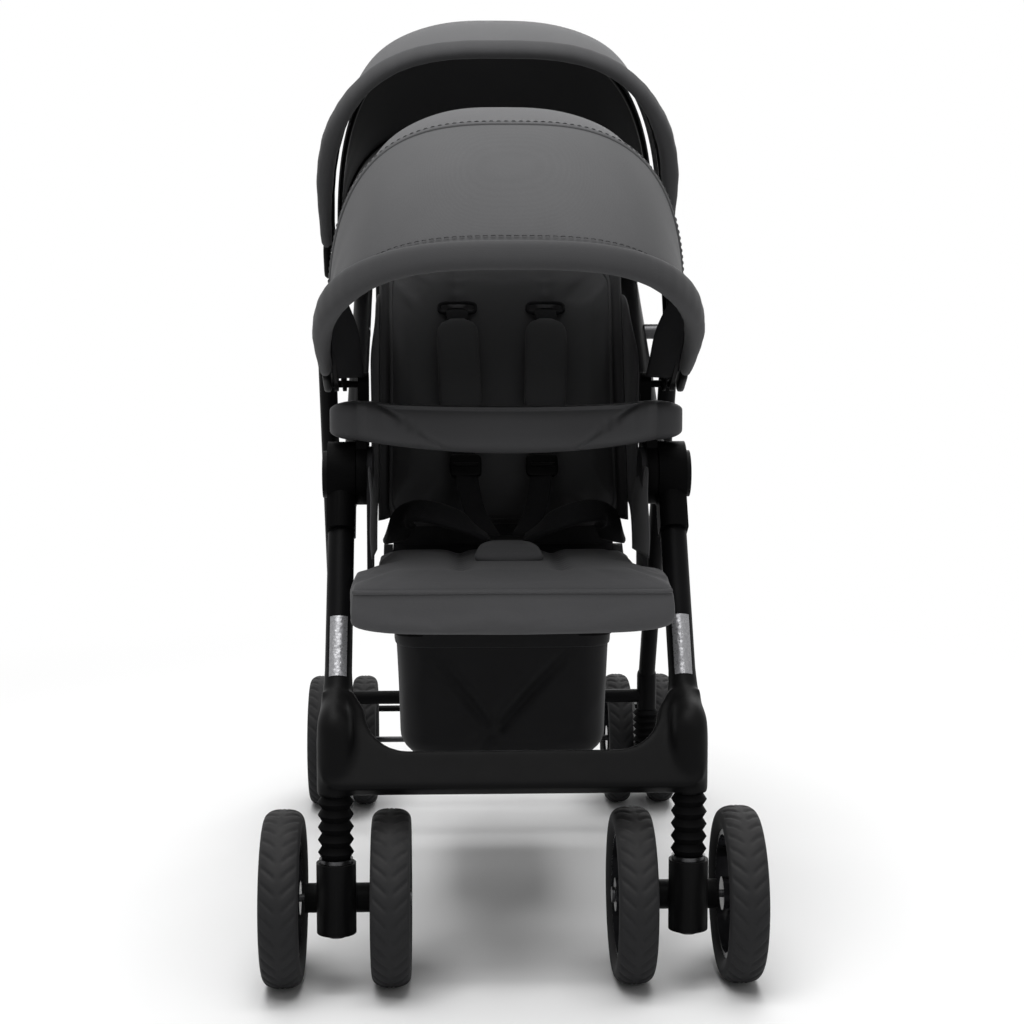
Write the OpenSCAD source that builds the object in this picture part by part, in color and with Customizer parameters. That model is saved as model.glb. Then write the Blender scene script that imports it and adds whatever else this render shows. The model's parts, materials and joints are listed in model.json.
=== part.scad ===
// Tandem stroller: two seats in line on a folding tube frame with eight wheels.
// The front faces -Y, +Z is up, and the origin is on the floor under the middle of the stroller.

/* [Overall] */
// Length from the front tyres to the back of the push handle
overall_l = 1060; // [1040:5:1100]
// Distance between the front and rear axles
wheelbase = 760; // [745:5:780]
// Height of the push handle's centre line
handle_h = 1000; // [985:5:1015]

/* [Wheels] */
// Diameter of every wheel over its tyre
wheel_d = 180; // [174:1:184]
// Width of a front tyre
front_tyre_w = 40; // [34:1:42]
// Distance between the two wheels of a front pair
front_pair = 110; // [108:1:116]
// Width of a rear tyre
rear_tyre_w = 34; // [28:1:34]
// Distance between the two wheels of a rear pair
rear_pair = 60; // [60:1:64]
// Diameter of the rim where the tyre sits
rim_d = 132; // [120:1:140]
// Diameter of the hub of a wheel
hub_d = 34; // [28:1:40]
// Diameter of the wheel axles
axle_d = 8; // [6:0.5:10]

/* [Front casters] */
// Distance between the swivel axes of the front pairs
caster_track = 356; // [352:1:360]
// Distance of the front axle behind its swivel axis
caster_trail = 25; // [20:1:28]
// Diameter of the fork body
fork_d = 40; // [36:1:42]
// Height of the underside of the fork body
fork_low = 62; // [58:1:66]
// Height of the top of the fork body
fork_top = 134; // [130:1:137]
// Diameter of the sliding stem
stem_d = 24; // [20:1:25]
// Diameter of the swivel pin under the stem
swivel_d = 14; // [10:1:16]
// Diameter of the bellows over their ribs
bellows_d = 36; // [34:1:40]
// Number of ribs on each bellows
bellows_ribs = 5; // [3:1:8]
// Travel of the front and rear suspension
travel = 10; // [6:1:12]

/* [Front legs] */
// Distance between the centre lines of the front legs
leg_track = 354; // [352:1:358]
// Diameter of a front leg
leg_d = 28; // [24:1:29]
// Height of the underside of the front cross member
cross_low = 203; // [202:1:206]
// Height of the front cross member along the plane of the legs
cross_h = 40; // [34:1:44]
// Thickness of the front cross member and the feet of the legs
cross_t = 34; // [30:1:38]
// Radius of the inside corners of the front cross member
cross_r = 44; // [30:1:46]
// Length of the reflective bands
band_l = 66; // [50:1:76]

/* [Fold hinge] */
// Distance of the fold hinge behind the front axle
hinge_back = 150; // [145:1:155]
// Height of the fold hinge
hinge_z = 512; // [508:1:516]
// Diameter of the hinge drum
drum_d = 70; // [68:1:72]
// Distance from the middle of the stroller to the inner face of the hinge brackets
bracket_in = 150; // [149:0.5:150]
// Thickness of the hinge brackets
bracket_t = 11.5; // [10:0.5:11.5]
// Diameter of the fold hinge pins
hinge_pin_d = 14; // [10:1:18]

/* [Push frame] */
// Distance between the centre lines of the side tubes
tube_track = 330; // [330:1:332]
// Diameter of the frame tubes
tube_d = 22; // [19:1:22]
// Wall of the frame tubes
tube_wall = 1.5; // [1:0.1:2]
// Diameter of the foam grip
grip_d = 32; // [28:1:36]
// Length of the foam grip
grip_l = 230; // [180:5:240]

/* [Rear legs] */
// Distance between the middles of the rear wheel pairs
rear_track = 414; // [414:1:418]
// Distance of the rear leg pivots behind the fold hinge
rear_pivot_back = 250; // [240:1:255]
// Diameter of the rear legs
rear_leg_d = 22; // [18:1:22]
// Height of the rear cross tube
rear_cross_z = 172; // [170:1:176]
// Diameter of the rear cross tube
rear_cross_d = 18; // [14:1:20]

/* [Canopies] */
// Half width of the canopies over the fabric
canopy_half_w = 198; // [198:0.5:200]
// Half width of the rear canopy over its cloth
rear_canopy_half_w = 214; // [212:0.5:216]
// Distance from a canopy pivot to the top of its arch
canopy_r = 311; // [300:1:312]
// Thickness of the canopy fabric
canopy_t = 2.5; // [1.5:0.5:2.5]
// Thickness of the padded hem
hem_t = 14; // [10:1:18]
// Distance of the front canopy pivots behind the fold hinge
front_canopy_back = 60; // [55:1:65]
// Distance of the front canopy pivots above the fold hinge
front_canopy_up = 95; // [90:1:100]
// Distance of the rear canopy pivots behind the fold hinge
rear_canopy_back = 370; // [360:1:380]

/* [Seats] */
// Width of the seat boards
seat_w = 288; // [280:1:288]
// Depth of the front seat board
front_seat_l = 255; // [240:1:258]
// Depth of the rear seat board
rear_seat_l = 180; // [170:1:184]
// Thickness of the seat and back boards
board_t = 10; // [8:1:12]
// Thickness of the seat cushions
cushion_t = 28; // [22:1:30]
// Thickness of the back cushions
back_cushion_t = 34; // [26:1:38]
// Length of the back boards
back_l = 350; // [320:5:360]
// Width of the back cushions
back_w = 284; // [270:1:286]
// Lean of the backs from upright, in degrees
back_lean = 21; // [17:1:22]
// Height of the underside of the front seat board
front_seat_z = 388; // [380:1:392]
// Height of the rear seat board above the front one
seat_step = 120; // [115:1:130]

/* [Tray] */
// Width of the tray
tray_w = 380; // [372:1:384]
// Height of the tray
tray_h = 42; // [36:1:44]
// Reach of the tray in front of the fold hinge
tray_reach = 130; // [110:1:140]

/* [Basket] */
// Width of the basket
basket_w = 248; // [230:1:252]
// Length of the basket
basket_l = 345; // [330:1:350]
// Depth of the basket
basket_h = 148; // [130:1:150]
// Thickness of the basket fabric
basket_t = 3; // [2:0.5:4]

/* [Hidden] */
$fn = 48;

// Fits and cuts
overrun = 2;
run_gap = 0.05;
side_gap = 0.5;
soft_gap = 0.3;

// Main places
axle_z = wheel_d / 2;
axle_y = wheel_d / 2 - overall_l / 2;
rear_axle_y = axle_y + wheelbase;
caster_x = caster_track / 2;
stem_y = axle_y - caster_trail;
leg_x = leg_track / 2;
tube_x = tube_track / 2;
rear_x = rear_track / 2;
hinge_y = axle_y + hinge_back;
handle_y = overall_l / 2 - grip_d / 2;
tube_rise = atan2(handle_h - hinge_z, handle_y - hinge_y);
function tube_at(back) = [hinge_y + back, hinge_z + back * tan(tube_rise)];
front_pivot = [hinge_y + front_canopy_back, hinge_z + front_canopy_up];
rear_pivot = tube_at(rear_canopy_back);
leg_pivot = tube_at(rear_pivot_back);
sides = [-1, 1];

// Front leg plane
foot_z = cross_low + cross_h / 2;
leg_run = norm([stem_y - hinge_y, foot_z - hinge_z]);
leg_tilt = atan2(hinge_y - stem_y, hinge_z - foot_z);
socket_wall = 7;
socket_d = stem_d + 2 * socket_wall;
socket_h = 58;
socket_top = cross_low + socket_h;
cheek_share = 0.62;
leg_top = drum_d / 2 * cheek_share;
upright_h = 84;
upright_w = 44;
upright_wall = 2;
leg_seat = 44;
leg_wall = 1.8;
corner_r = 20;
socket_roof = 6;
band_w = 18;
band_t = 1.2;
band_start = 17;

// Caster details
bellows_lip = 2;
shoulder_t = 4;
stem_headroom = 3;
rib_depth = 4;
sleeve_gap = 0.4;
axle_house_d = 30;
fork_web_w = 26;

// Wheel details
hub_inset = 3;
axle_head_t = 3;
axle_head_d = 16;
spokes = 6;
spoke_t = 7;
spoke_w = 12;
rim_t = 6;
rim_w_share = 0.74;
tyre_foot_share = 0.8;
tyre_wall_share = 0.45;
tyre_power = 0.8;
tyre_steps = 16;

// Fold hinge
drum_in = bracket_in + bracket_t + side_gap;
drum_w = 30;
drum_out = drum_in + drum_w;
collar_wall = 6;
collar_d = leg_d + 2 * collar_wall;
collar_l = 70;
cap_t = 5;
cap_share = 0.72;
cap_d = drum_d * cap_share;
bracket_inset = 2;
bracket_d = drum_d - 2 * bracket_inset;
arm_h = 18;
tube_clear = 14;
tube_start = drum_d / 2 + tube_clear;
plug_start = drum_d / 2 + side_gap;
plug_l = 60;
post_w = 34;
riser_d = 26;
riser_back = front_canopy_back;
riser_run = riser_back / cos(tube_rise);

// Push frame
bend_r = 46;
handle_run = norm([handle_y - hinge_y, handle_h - hinge_z]);
trigger_l = 90;
trigger_h = 16;
trigger_t = 14;
trigger_travel = 7;
trigger_pin_d = 6;
trigger_pin_x = 32;
trigger_reach = 12;

// Pins
pin_d = 8;
leg_pin_d = 12;
bolt_d = 8;
bolt_spread = 16;
head_t = 4;
head_d = 18;
knuckle_d = 34;
knuckle_w = 22;
pin_over = 2;

// Rear end
wheel_clear = 2;
arm_w = rear_pair - rear_tyre_w - 2 * wheel_clear;
rear_arm_h = 28;
rear_foot_lead = 24;
rear_foot_y = rear_axle_y - wheel_d / 2 - rear_foot_lead;
rear_seat_t = 4;
rear_bellows_low = axle_z + rear_arm_h / 2 + rear_seat_t;
rear_bellows_h = 46;
rear_bellows_top = rear_bellows_low + rear_bellows_h;
rear_foot_h = 46;
rear_foot_top = rear_bellows_top + rear_foot_h;
rear_foot_d = 26;
rear_pin_d = 16;
rear_pin_h = 28;
brake_back = 26;
brake_up = 24;
brake_t = 10;
brake_h = 16;
brake_rod_d = 9;
brake_pin_d = 7;
pedal_w = 60;
pedal_l = 34;
pedal_t = 7;
arm_tail = 40;

// Canopies
front_hem_angle = 27;
front_seam_angle = 58;
front_back_angle = 105;
rear_hem_angle = 55;
rear_seam_angle = 97;
rear_back_angle = 140;
hem_sweep = 4.4;
hood_lap = 3;
bow_turn = 3;
nest = 8;
bow_sink = 1;
bow_w = 9;
bow_t = 4;
bow_gap = 0.5;
eye_d = 16;
eye_lip = 0.4;
canopy_foot = 34;
arch_power = 3;
arch_steps = 28;
taper_share = 0.04;
function pin_end(w) = (w - canopy_t - bow_gap) * (1 - taper_share) + pin_over;

// Seats
plate_t = 6;
seat_lead = 155;
seat_front_y = hinge_y - seat_lead;
front_base_y = seat_front_y + front_seat_l;
base_back = 6;
base_up = 14;
front_base = [front_base_y + base_back, front_seat_z + board_t + base_up];
rear_seat_back = 275;
rear_seat_y = hinge_y + rear_seat_back;
rear_base_y = rear_seat_y + rear_seat_l;
rear_seat_z = front_seat_z + seat_step;
rear_base = [rear_base_y + base_back, rear_seat_z + board_t + base_up];
seat_bolt_back = rear_seat_back + rear_seat_l / 2;
lug_d = 24;
lug_t = 10;
back_pin_d = 10;
lip_l = 34;
lip_w = 322;
cushion_w = 284;
back_board_w = 250;
back_foot = 22;
channel_depth = 5;
channel_share = 0.36;
channel_w_share = 0.09;
pillow_edge_share = 0.55;
pull_share = 0.03;
pillow_across = 22;
seat_rows = 14;
back_rows = 16;
plate_w = 60;
back_pin_l = 26;
back_over = 8;
cushion_back = lug_d + soft_gap;
lip_drop = 26;

// Tray
tray_gap = 2;
tray_z = hinge_z + drum_d / 2 + tray_gap;
tray_pin_d = 10;
tray_pin_h = 16;
tray_end_r = 30;
tray_band = 66;
tray_steps = 16;

// Basket
basket_tuck = 10;
basket_front_y = front_base_y - basket_tuck;
basket_low = 172;
basket_r = 22;
basket_slope = 24;
wire_d = 6;
hanger_d = 5;
hanger_in = 30;
hanger_x = basket_w / 2 - hanger_in;

// Buckle
buckle_w = 44;
buckle_l = 50;
buckle_h = 16;
buckle_r = 8;

// A round bar from one point to another
module rod(a, b, d) {
    v = b - a;
    translate(a) rotate([0, acos(v[2] / norm(v)), atan2(v[1], v[0])]) cylinder(d = d, h = norm(v));
}

// A cylinder along X at a place in the side view
module bar_x(place, from, to, d) {
    translate([from, place[0], place[1]]) rotate([0, 90, 0]) cylinder(d = d, h = to - from);
}

// A side-view outline given thickness along X
module slab_x(from, to) {
    translate([from, 0, 0]) rotate([90, 0, 90]) linear_extrude(to - from) children();
}

// The same piece on the left (-1) or right (1) side
module side(s) {
    if (s > 0) children();
    else mirror([1, 0, 0]) children();
}

// Points on an arc
function arc(c, r, from, to, steps) =
    [for (i = [0:steps]) let (a = from + (to - from) * i / steps) [c[0] + r * cos(a), c[1] + r * sin(a)]];

// A bar with round ends in the side view, between two places
module link(a, b, d) {
    v = b - a;
    translate(a) circle(d = d);
    translate(b) circle(d = d);
    translate(a) rotate(atan2(v[1], v[0])) translate([0, -d / 2]) square([norm(v), d]);
}

// Places in the plane of the push frame: X across, Y up the side tubes
module tube_plane() {
    translate([0, hinge_y, hinge_z]) rotate([tube_rise, 0, 0]) children();
}

// A round bar up the middle of the right side tube
module along_tube(from, to, d) {
    tube_plane() translate([tube_x, from, 0]) rotate([-90, 0, 0]) cylinder(d = d, h = to - from);
}

// Side tubes, bends and handle bar of one diameter
module push_tube(from, d) {
    for (s = sides) side(s) {
        along_tube(from, handle_run - bend_r, d);
        tube_plane() translate([tube_x - bend_r, handle_run - bend_r, 0])
            rotate_extrude(angle = 90) translate([bend_r, 0]) circle(d = d);
    }
    tube_plane() translate([bend_r - tube_x, handle_run, 0]) rotate([0, 90, 0])
        cylinder(d = d, h = 2 * (tube_x - bend_r));
}

// Shoulder and plug of a hinge bracket that hold a side tube
module bracket_arm() {
    along_tube(plug_start, tube_start, tube_d);
    along_tube(plug_start, tube_start + plug_l, tube_d - 2 * tube_wall - 2 * run_gap);
}

// Holes for the pins that pass through the side tubes
module frame_pin_holes() {
    bar_x(leg_pivot, tube_x - tube_d, tube_x + tube_d, leg_pin_d);
    bar_x(rear_pivot, tube_x - tube_d, tube_x + tube_d, pin_d);
    for (k = sides) bar_x(tube_at(seat_bolt_back + k * bolt_spread), tube_x - tube_d, tube_x + tube_d, bolt_d);
}

module trigger_holes() {
    for (s = sides)
        translate([s * trigger_pin_x, handle_y, handle_h - grip_d])
            cylinder(d = trigger_pin_d + 2 * run_gap, h = grip_d + trigger_reach);
}

module push_frame() {
    color("#1d1d20") difference() {
        push_tube(tube_start, tube_d);
        for (s = sides) side(s) {
            along_tube(tube_start - overrun, handle_run - bend_r - tube_d, tube_d - 2 * tube_wall);
            frame_pin_holes();
        }
        trigger_holes();
    }
}

module foam_grip() {
    color("#26262a") difference() {
        bar_x([handle_y, handle_h], -grip_l / 2, grip_l / 2, grip_d);
        bar_x([handle_y, handle_h], -grip_l / 2 - overrun, grip_l / 2 + overrun, tube_d);
        trigger_holes();
    }
}

// Squeeze bar under the grip that releases the fold
module fold_trigger() {
    low = handle_h - grip_d / 2 - trigger_travel - side_gap - trigger_h;
    color("#3a3a3e") {
        translate([-trigger_l / 2, handle_y - trigger_t / 2, low]) cube([trigger_l, trigger_t, trigger_h]);
        for (s = sides)
            translate([s * trigger_pin_x, handle_y, low])
                cylinder(d = trigger_pin_d, h = handle_h - low);
    }
}

// Plate that joins a side tube, the fold hinge, the tray post and the front canopy pivot
module hinge_bracket(s) {
    color("#161618") side(s) {
        difference() {
            slab_x(bracket_in, bracket_in + bracket_t) {
                translate([hinge_y, hinge_z]) circle(d = bracket_d);
                translate([hinge_y - post_w / 2, hinge_z]) square([post_w, tray_z - run_gap - hinge_z]);
                link(tube_at(riser_back), front_pivot, riser_d);
                translate([hinge_y, hinge_z]) rotate(tube_rise) translate([0, -arm_h / 2]) square([riser_run, arm_h]);
            }
            bar_x([hinge_y, hinge_z], bracket_in - overrun, bracket_in + bracket_t + overrun, hinge_pin_d + 2 * run_gap);
            along_tube(tube_start, riser_run + riser_d, tube_d + 2 * run_gap);
        }
        bracket_arm();
        bar_x(front_pivot, bracket_in, pin_end(canopy_half_w), pin_d);
        if (s < 0)
            translate([bracket_in + bracket_t / 2, hinge_y, tray_z - overrun])
                cylinder(d = tray_pin_d, h = tray_pin_h + overrun);
    }
}

module hinge_pins() {
    color("#2a2a2d") for (s = sides) side(s) {
        bar_x([hinge_y, hinge_z], bracket_in, drum_out + side_gap + cap_t, hinge_pin_d);
        bar_x([hinge_y, hinge_z], drum_out + side_gap, drum_out + side_gap + cap_t, cap_d);
    }
}

// Rear leg pivots, rear canopy pivots and the bolts of the rear seat
module frame_pins() {
    color("#7d7d82") for (s = sides) side(s) {
        bar_x(leg_pivot, tube_x - tube_d / 2, rear_x + knuckle_w / 2 + side_gap + head_t, leg_pin_d);
        bar_x(leg_pivot, rear_x + knuckle_w / 2 + side_gap, rear_x + knuckle_w / 2 + side_gap + head_t, head_d);
        difference() {
            bar_x(leg_pivot, tube_x + tube_d / 2 - tube_wall, rear_x - knuckle_w / 2 - side_gap, head_d);
            along_tube(tube_start, handle_run - bend_r, tube_d);
        }
        bar_x(rear_pivot, tube_x - tube_d / 2, pin_end(rear_canopy_half_w), pin_d);
        for (k = sides) bar_x(tube_at(seat_bolt_back + k * bolt_spread), seat_w / 2, tube_x + tube_d / 2, bolt_d);
    }
}

// Places in the plane of the front legs: X across, Y up the legs, Z out of the front
module leg_plane() {
    translate([0, stem_y, foot_z]) rotate([90 - leg_tilt, 0, 0]) children();
}

module front_leg(s) {
    from = upright_h - leg_seat;
    to = leg_run - leg_top;
    color("#232326") leg_plane() translate([s * leg_x, from, 0]) rotate([-90, 0, 0]) difference() {
        cylinder(d = leg_d, h = to - from);
        translate([0, 0, -overrun]) cylinder(d = leg_d - 2 * leg_wall, h = to - from + 2 * overrun);
    }
}

// Outline of the cross member with its two uprights
function cross_half() =
    let (rim = leg_d / 2 + upright_wall, out = leg_x + rim, in = out - upright_w, top = cross_h / 2)
    concat(
        arc([out - corner_r, corner_r - top], corner_r, -90, 0, 6),
        [[out, upright_h], [leg_x - rim, upright_h]],
        arc([in - cross_r, top + cross_r], cross_r, 0, -90, 8)
    );

module front_cross_member() {
    half = cross_half();
    last = len(half) - 1;
    color("#1f1f22") difference() {
        union() {
            leg_plane() linear_extrude(cross_t, center = true)
                polygon(concat(half, [for (i = [last:-1:0]) [-half[i][0], half[i][1]]]));
            for (s = sides) translate([s * caster_x, stem_y, cross_low]) cylinder(d = socket_d, h = socket_h);
        }
        for (s = sides) {
            translate([s * caster_x, stem_y, cross_low - cross_t])
                cylinder(d = stem_d + 2 * run_gap, h = cross_t + socket_h - socket_roof);
            leg_plane() translate([s * leg_x, upright_h - leg_seat, 0]) rotate([-90, 0, 0])
                cylinder(d = leg_d, h = leg_seat + overrun);
        }
        translate([-overall_l / 2, stem_y - cross_t, cross_low - cross_h])
            cube([overall_l, 2 * cross_t, cross_h]);
    }
}

module reflective_bands() {
    color("#c9c9cc") leg_plane() for (s = sides)
        translate([s * leg_x, upright_h + band_start, 0]) intersection() {
            rotate([-90, 0, 0]) difference() {
                cylinder(d = leg_d + 2 * band_t, h = band_l);
                translate([0, 0, -overrun]) cylinder(d = leg_d, h = band_l + 2 * overrun);
            }
            translate([-band_w / 2, 0, 0]) cube([band_w, band_l, leg_d]);
        }
}

// Drum of the fold hinge with the collar that grips the front leg
module hinge_drum(s) {
    color("#151517") side(s) difference() {
        union() {
            bar_x([hinge_y, hinge_z], drum_in, drum_out, drum_d);
            intersection() {
                leg_plane() translate([leg_x, leg_run - collar_l, 0]) rotate([-90, 0, 0])
                    cylinder(d = collar_d, h = collar_l);
                translate([drum_in, hinge_y - overall_l / 2, 0]) cube([drum_w, overall_l, handle_h]);
            }
        }
        bar_x([hinge_y, hinge_z], drum_in - overrun, drum_out + overrun, hinge_pin_d + 2 * run_gap);
        leg_plane() translate([leg_x, 0, 0]) rotate([-90, 0, 0]) cylinder(d = leg_d, h = leg_run - leg_top);
    }
}

// Sliding stem of a front caster with its shoulder, swivel pin and end head
module front_stem(s) {
    shoulder = fork_top + side_gap;
    color("#2b2b2e") translate([s * caster_x, stem_y, 0]) {
        translate([0, 0, shoulder])
            cylinder(d = stem_d, h = socket_top - socket_roof - travel - stem_headroom - shoulder);
        translate([0, 0, shoulder]) cylinder(d = bellows_d - bellows_lip, h = shoulder_t);
        translate([0, 0, fork_low - side_gap]) cylinder(d = swivel_d, h = shoulder - fork_low + side_gap);
        translate([0, 0, fork_low - side_gap - head_t]) cylinder(d = head_d, h = head_t);
    }
}

// Ribbed rubber sleeve round a sliding stem
module bellows(core_d, low, high) {
    out = bellows_d / 2;
    step = (high - low) / (2 * bellows_ribs);
    rotate_extrude() polygon(concat(
        [[core_d / 2 + sleeve_gap, low]],
        [for (i = [0:2 * bellows_ribs]) [i % 2 == 0 ? out - rib_depth : out, low + i * step]],
        [[core_d / 2 + sleeve_gap, high]]
    ));
}

module front_bellows(s) {
    color("#121214") translate([s * caster_x, stem_y, 0])
        bellows(stem_d, fork_top + side_gap + shoulder_t, cross_low);
}

module front_fork(s) {
    half = front_pair / 2 - front_tyre_w / 2 - wheel_clear;
    color("#141416") translate([s * caster_x, 0, 0]) difference() {
        union() {
            translate([0, stem_y, fork_low]) cylinder(d = fork_d, h = fork_top - fork_low);
            bar_x([axle_y, axle_z], -half, half, axle_house_d);
            translate([-fork_web_w / 2, stem_y, axle_z - axle_house_d / 2])
                cube([fork_web_w, caster_trail, axle_house_d]);
        }
        translate([0, stem_y, fork_low - overrun])
            cylinder(d = swivel_d + 2 * run_gap, h = fork_top - fork_low + 2 * overrun);
        bar_x([axle_y, axle_z], -half - overrun, half + overrun, axle_d);
    }
}

module front_axle(s) {
    end = front_pair / 2 + front_tyre_w / 2 - hub_inset + side_gap;
    color("#8b8b90") translate([s * caster_x, 0, 0]) {
        bar_x([axle_y, axle_z], -end, end, axle_d);
        for (k = sides) side(k) bar_x([axle_y, axle_z], end, end + axle_head_t, axle_head_d);
    }
}

// Spoked wheel on an axle along X
module wheel(tyre_w) {
    hub_half = tyre_w / 2 - hub_inset;
    ring_half = tyre_w * rim_w_share / 2;
    difference() {
        union() {
            bar_x([0, 0], -hub_half, hub_half, hub_d);
            difference() {
                bar_x([0, 0], -ring_half, ring_half, rim_d);
                bar_x([0, 0], -ring_half - overrun, ring_half + overrun, rim_d - 2 * rim_t);
            }
            for (i = [0:spokes - 1]) rotate([i * 360 / spokes, 0, 0])
                translate([-spoke_t / 2, -spoke_w / 2, hub_d / 4])
                    cube([spoke_t, spoke_w, rim_d / 2 - rim_t / 2 - hub_d / 4]);
        }
        bar_x([0, 0], -tyre_w, tyre_w, axle_d + 2 * run_gap);
    }
}

// Tyre with a round crown and straight walls
module tyre(tyre_w) {
    half = tyre_w / 2;
    crown = wheel_d / 2 - rim_d / 2;
    rotate([0, 90, 0]) rotate_extrude() polygon(concat(
        [[rim_d / 2, -half * tyre_foot_share], [rim_d / 2, half * tyre_foot_share]],
        [for (i = [0:tyre_steps]) let (a = 90 - 180 * i / tyre_steps)
            [rim_d / 2 + crown * (tyre_wall_share + (1 - tyre_wall_share) * pow(abs(cos(a)), tyre_power)),
                half * sign(a) * pow(abs(sin(a)), tyre_power)]]
    ));
}

front_wheel_x = [for (s = sides) for (k = sides) s * caster_x + k * front_pair / 2];
rear_wheel_x = [for (s = sides) for (k = sides) s * rear_x + k * rear_pair / 2];

module front_wheel(i) {
    color("#17171a") translate([front_wheel_x[i], axle_y, axle_z]) wheel(front_tyre_w);
}

module front_tyre(i) {
    color("#4a4a4e") translate([front_wheel_x[i], axle_y, axle_z]) tyre(front_tyre_w);
}

module rear_wheel(i) {
    color("#17171a") translate([rear_wheel_x[i], rear_axle_y, axle_z]) wheel(rear_tyre_w);
}

module rear_tyre(i) {
    color("#4a4a4e") translate([rear_wheel_x[i], rear_axle_y, axle_z]) tyre(rear_tyre_w);
}

// Both rear legs with their feet and the tube between them
module rear_legs() {
    foot = [rear_foot_y, rear_foot_top];
    color("#1d1d20") difference() {
        union() {
            for (s = sides) side(s) {
                rod(concat([rear_x], leg_pivot), concat([rear_x], foot), rear_leg_d);
                bar_x(leg_pivot, rear_x - knuckle_w / 2, rear_x + knuckle_w / 2, knuckle_d);
                translate([rear_x, rear_foot_y, rear_bellows_top]) cylinder(d = rear_foot_d, h = rear_foot_h);
                translate(concat([rear_x], foot)) sphere(d = rear_foot_d);
            }
            bar_x([rear_foot_y, rear_cross_z], -rear_x, rear_x, rear_cross_d);
        }
        for (s = sides) side(s) {
            bar_x(leg_pivot, rear_x - knuckle_d, rear_x + knuckle_d, leg_pin_d + 2 * run_gap);
            translate([rear_x, rear_foot_y, rear_bellows_top - overrun])
                cylinder(d = rear_pin_d + 2 * run_gap, h = rear_pin_h + travel + 2 * overrun);
        }
    }
}

module rear_bellows() {
    color("#121214") for (s = sides) translate([s * rear_x, rear_foot_y, 0])
        bellows(rear_pin_d, rear_bellows_low, rear_bellows_top);
}

// Trailing arms between the rear wheels with the pins that slide in the feet
module rear_arms() {
    color("#141416") for (s = sides) side(s) difference() {
        union() {
            slab_x(rear_x - arm_w / 2, rear_x + arm_w / 2)
                link([rear_foot_y, axle_z], [rear_axle_y + arm_tail, axle_z], rear_arm_h);
            translate([rear_x, rear_foot_y, rear_bellows_low - rear_seat_t])
                cylinder(d = bellows_d - bellows_lip, h = rear_seat_t);
            translate([rear_x, rear_foot_y, axle_z])
                cylinder(d = rear_pin_d, h = rear_bellows_top + rear_pin_h - axle_z);
        }
        bar_x([rear_axle_y, axle_z], rear_x - arm_w, rear_x + arm_w, axle_d);
        bar_x([rear_axle_y + brake_back, axle_z], rear_x - arm_w, rear_x + arm_w, brake_pin_d + 2 * run_gap);
        translate([rear_x - brake_t / 2 - side_gap, rear_axle_y + brake_back - brake_h / 2 - side_gap, 0])
            cube([brake_t + 2 * side_gap, wheel_d, wheel_d]);
    }
}

module rear_axle() {
    end = rear_x + rear_pair / 2 + rear_tyre_w / 2 - hub_inset + side_gap;
    color("#8b8b90") {
        bar_x([rear_axle_y, axle_z], -end, end, axle_d);
        for (s = sides) side(s) bar_x([rear_axle_y, axle_z], end, end + axle_head_t, axle_head_d);
    }
}

// Two pedal levers joined by a bar behind the rear wheels
module brake_pedal() {
    pivot = [rear_axle_y + brake_back, axle_z];
    end = [rear_axle_y + wheel_d / 2 + brake_rod_d + wheel_clear, axle_z + brake_up];
    color("#252528") {
        for (s = sides) side(s) {
            slab_x(rear_x - brake_t / 2, rear_x + brake_t / 2) link(pivot, end, brake_h);
            bar_x(pivot, rear_x - arm_w / 2, rear_x + arm_w / 2, brake_pin_d);
            translate([rear_x - pedal_w / 2, end[0], end[1] - pedal_t / 2]) cube([pedal_w, pedal_l, pedal_t]);
        }
        bar_x(end, -rear_x, rear_x, brake_rod_d);
    }
}

// Arch of a canopy: distance from the pivot line against the place across the stroller
function arch(w, r) = [for (i = [0:arch_steps]) let (
    a = 180 * i / arch_steps,
    out = r * pow(sin(a), 2 / arch_power),
    k = 1 - taper_share * (1 - out / r)
) [out, w * k * sign(cos(a)) * pow(abs(cos(a)), 2 / arch_power)]];

// Band between two arches, from a distance off the pivot line outwards
module arch_band(w, inset, t, foot) {
    difference() {
        polygon(arch(w - inset, canopy_r - inset));
        polygon(arch(w - inset - t, canopy_r - inset - t));
        translate([-overrun, -canopy_r]) square([foot + overrun, 2 * canopy_r]);
    }
}

// Part of a turn about a canopy pivot, in degrees up from straight ahead
module sector(pivot, from, to) {
    translate([0, pivot[0], pivot[1]]) rotate([0, 90, 0]) rotate([0, 0, -to - 90])
        rotate_extrude(angle = to - from, $fn = 72) children();
}

// Flat bow across a canopy at one angle, with an eye at each pivot
module bow(pivot, w, angle, inset) {
    out = (w - inset) * (1 - taper_share);
    in = (w - inset - bow_t) * (1 - taper_share);
    translate([0, pivot[0], pivot[1]]) difference() {
        union() {
            rotate([-angle, 0, 0]) rotate([0, 0, -90]) linear_extrude(bow_w, center = true)
                arch_band(w, inset, bow_t, 0);
            for (s = sides) side(s) bar_x([0, 0], in - eye_lip, out + eye_lip, eye_d);
        }
        bar_x([0, 0], -w, w, pin_d + 2 * run_gap);
    }
}

// Front half of a canopy: fabric with a padded hem
module canopy_hood(pivot, w, hem, seam) {
    sector(pivot, hem - hem_sweep / 2, seam + hood_lap) arch_band(w, 0, canopy_t, canopy_foot);
    sector(pivot, hem - hem_sweep, hem) arch_band(w, canopy_t - hem_t, hem_t, canopy_foot);
}

// Rear half of a canopy with the bows sewn into its two edges
module canopy_back(pivot, w, seam, end) {
    sector(pivot, seam, end) arch_band(w, nest, canopy_t, canopy_foot);
    for (a = [seam + bow_turn, end - bow_turn]) bow(pivot, w, a, nest + canopy_t - bow_sink);
}

module front_canopy_hood() {
    color("#57575b") canopy_hood(front_pivot, canopy_half_w, front_hem_angle, front_seam_angle);
}

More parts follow.
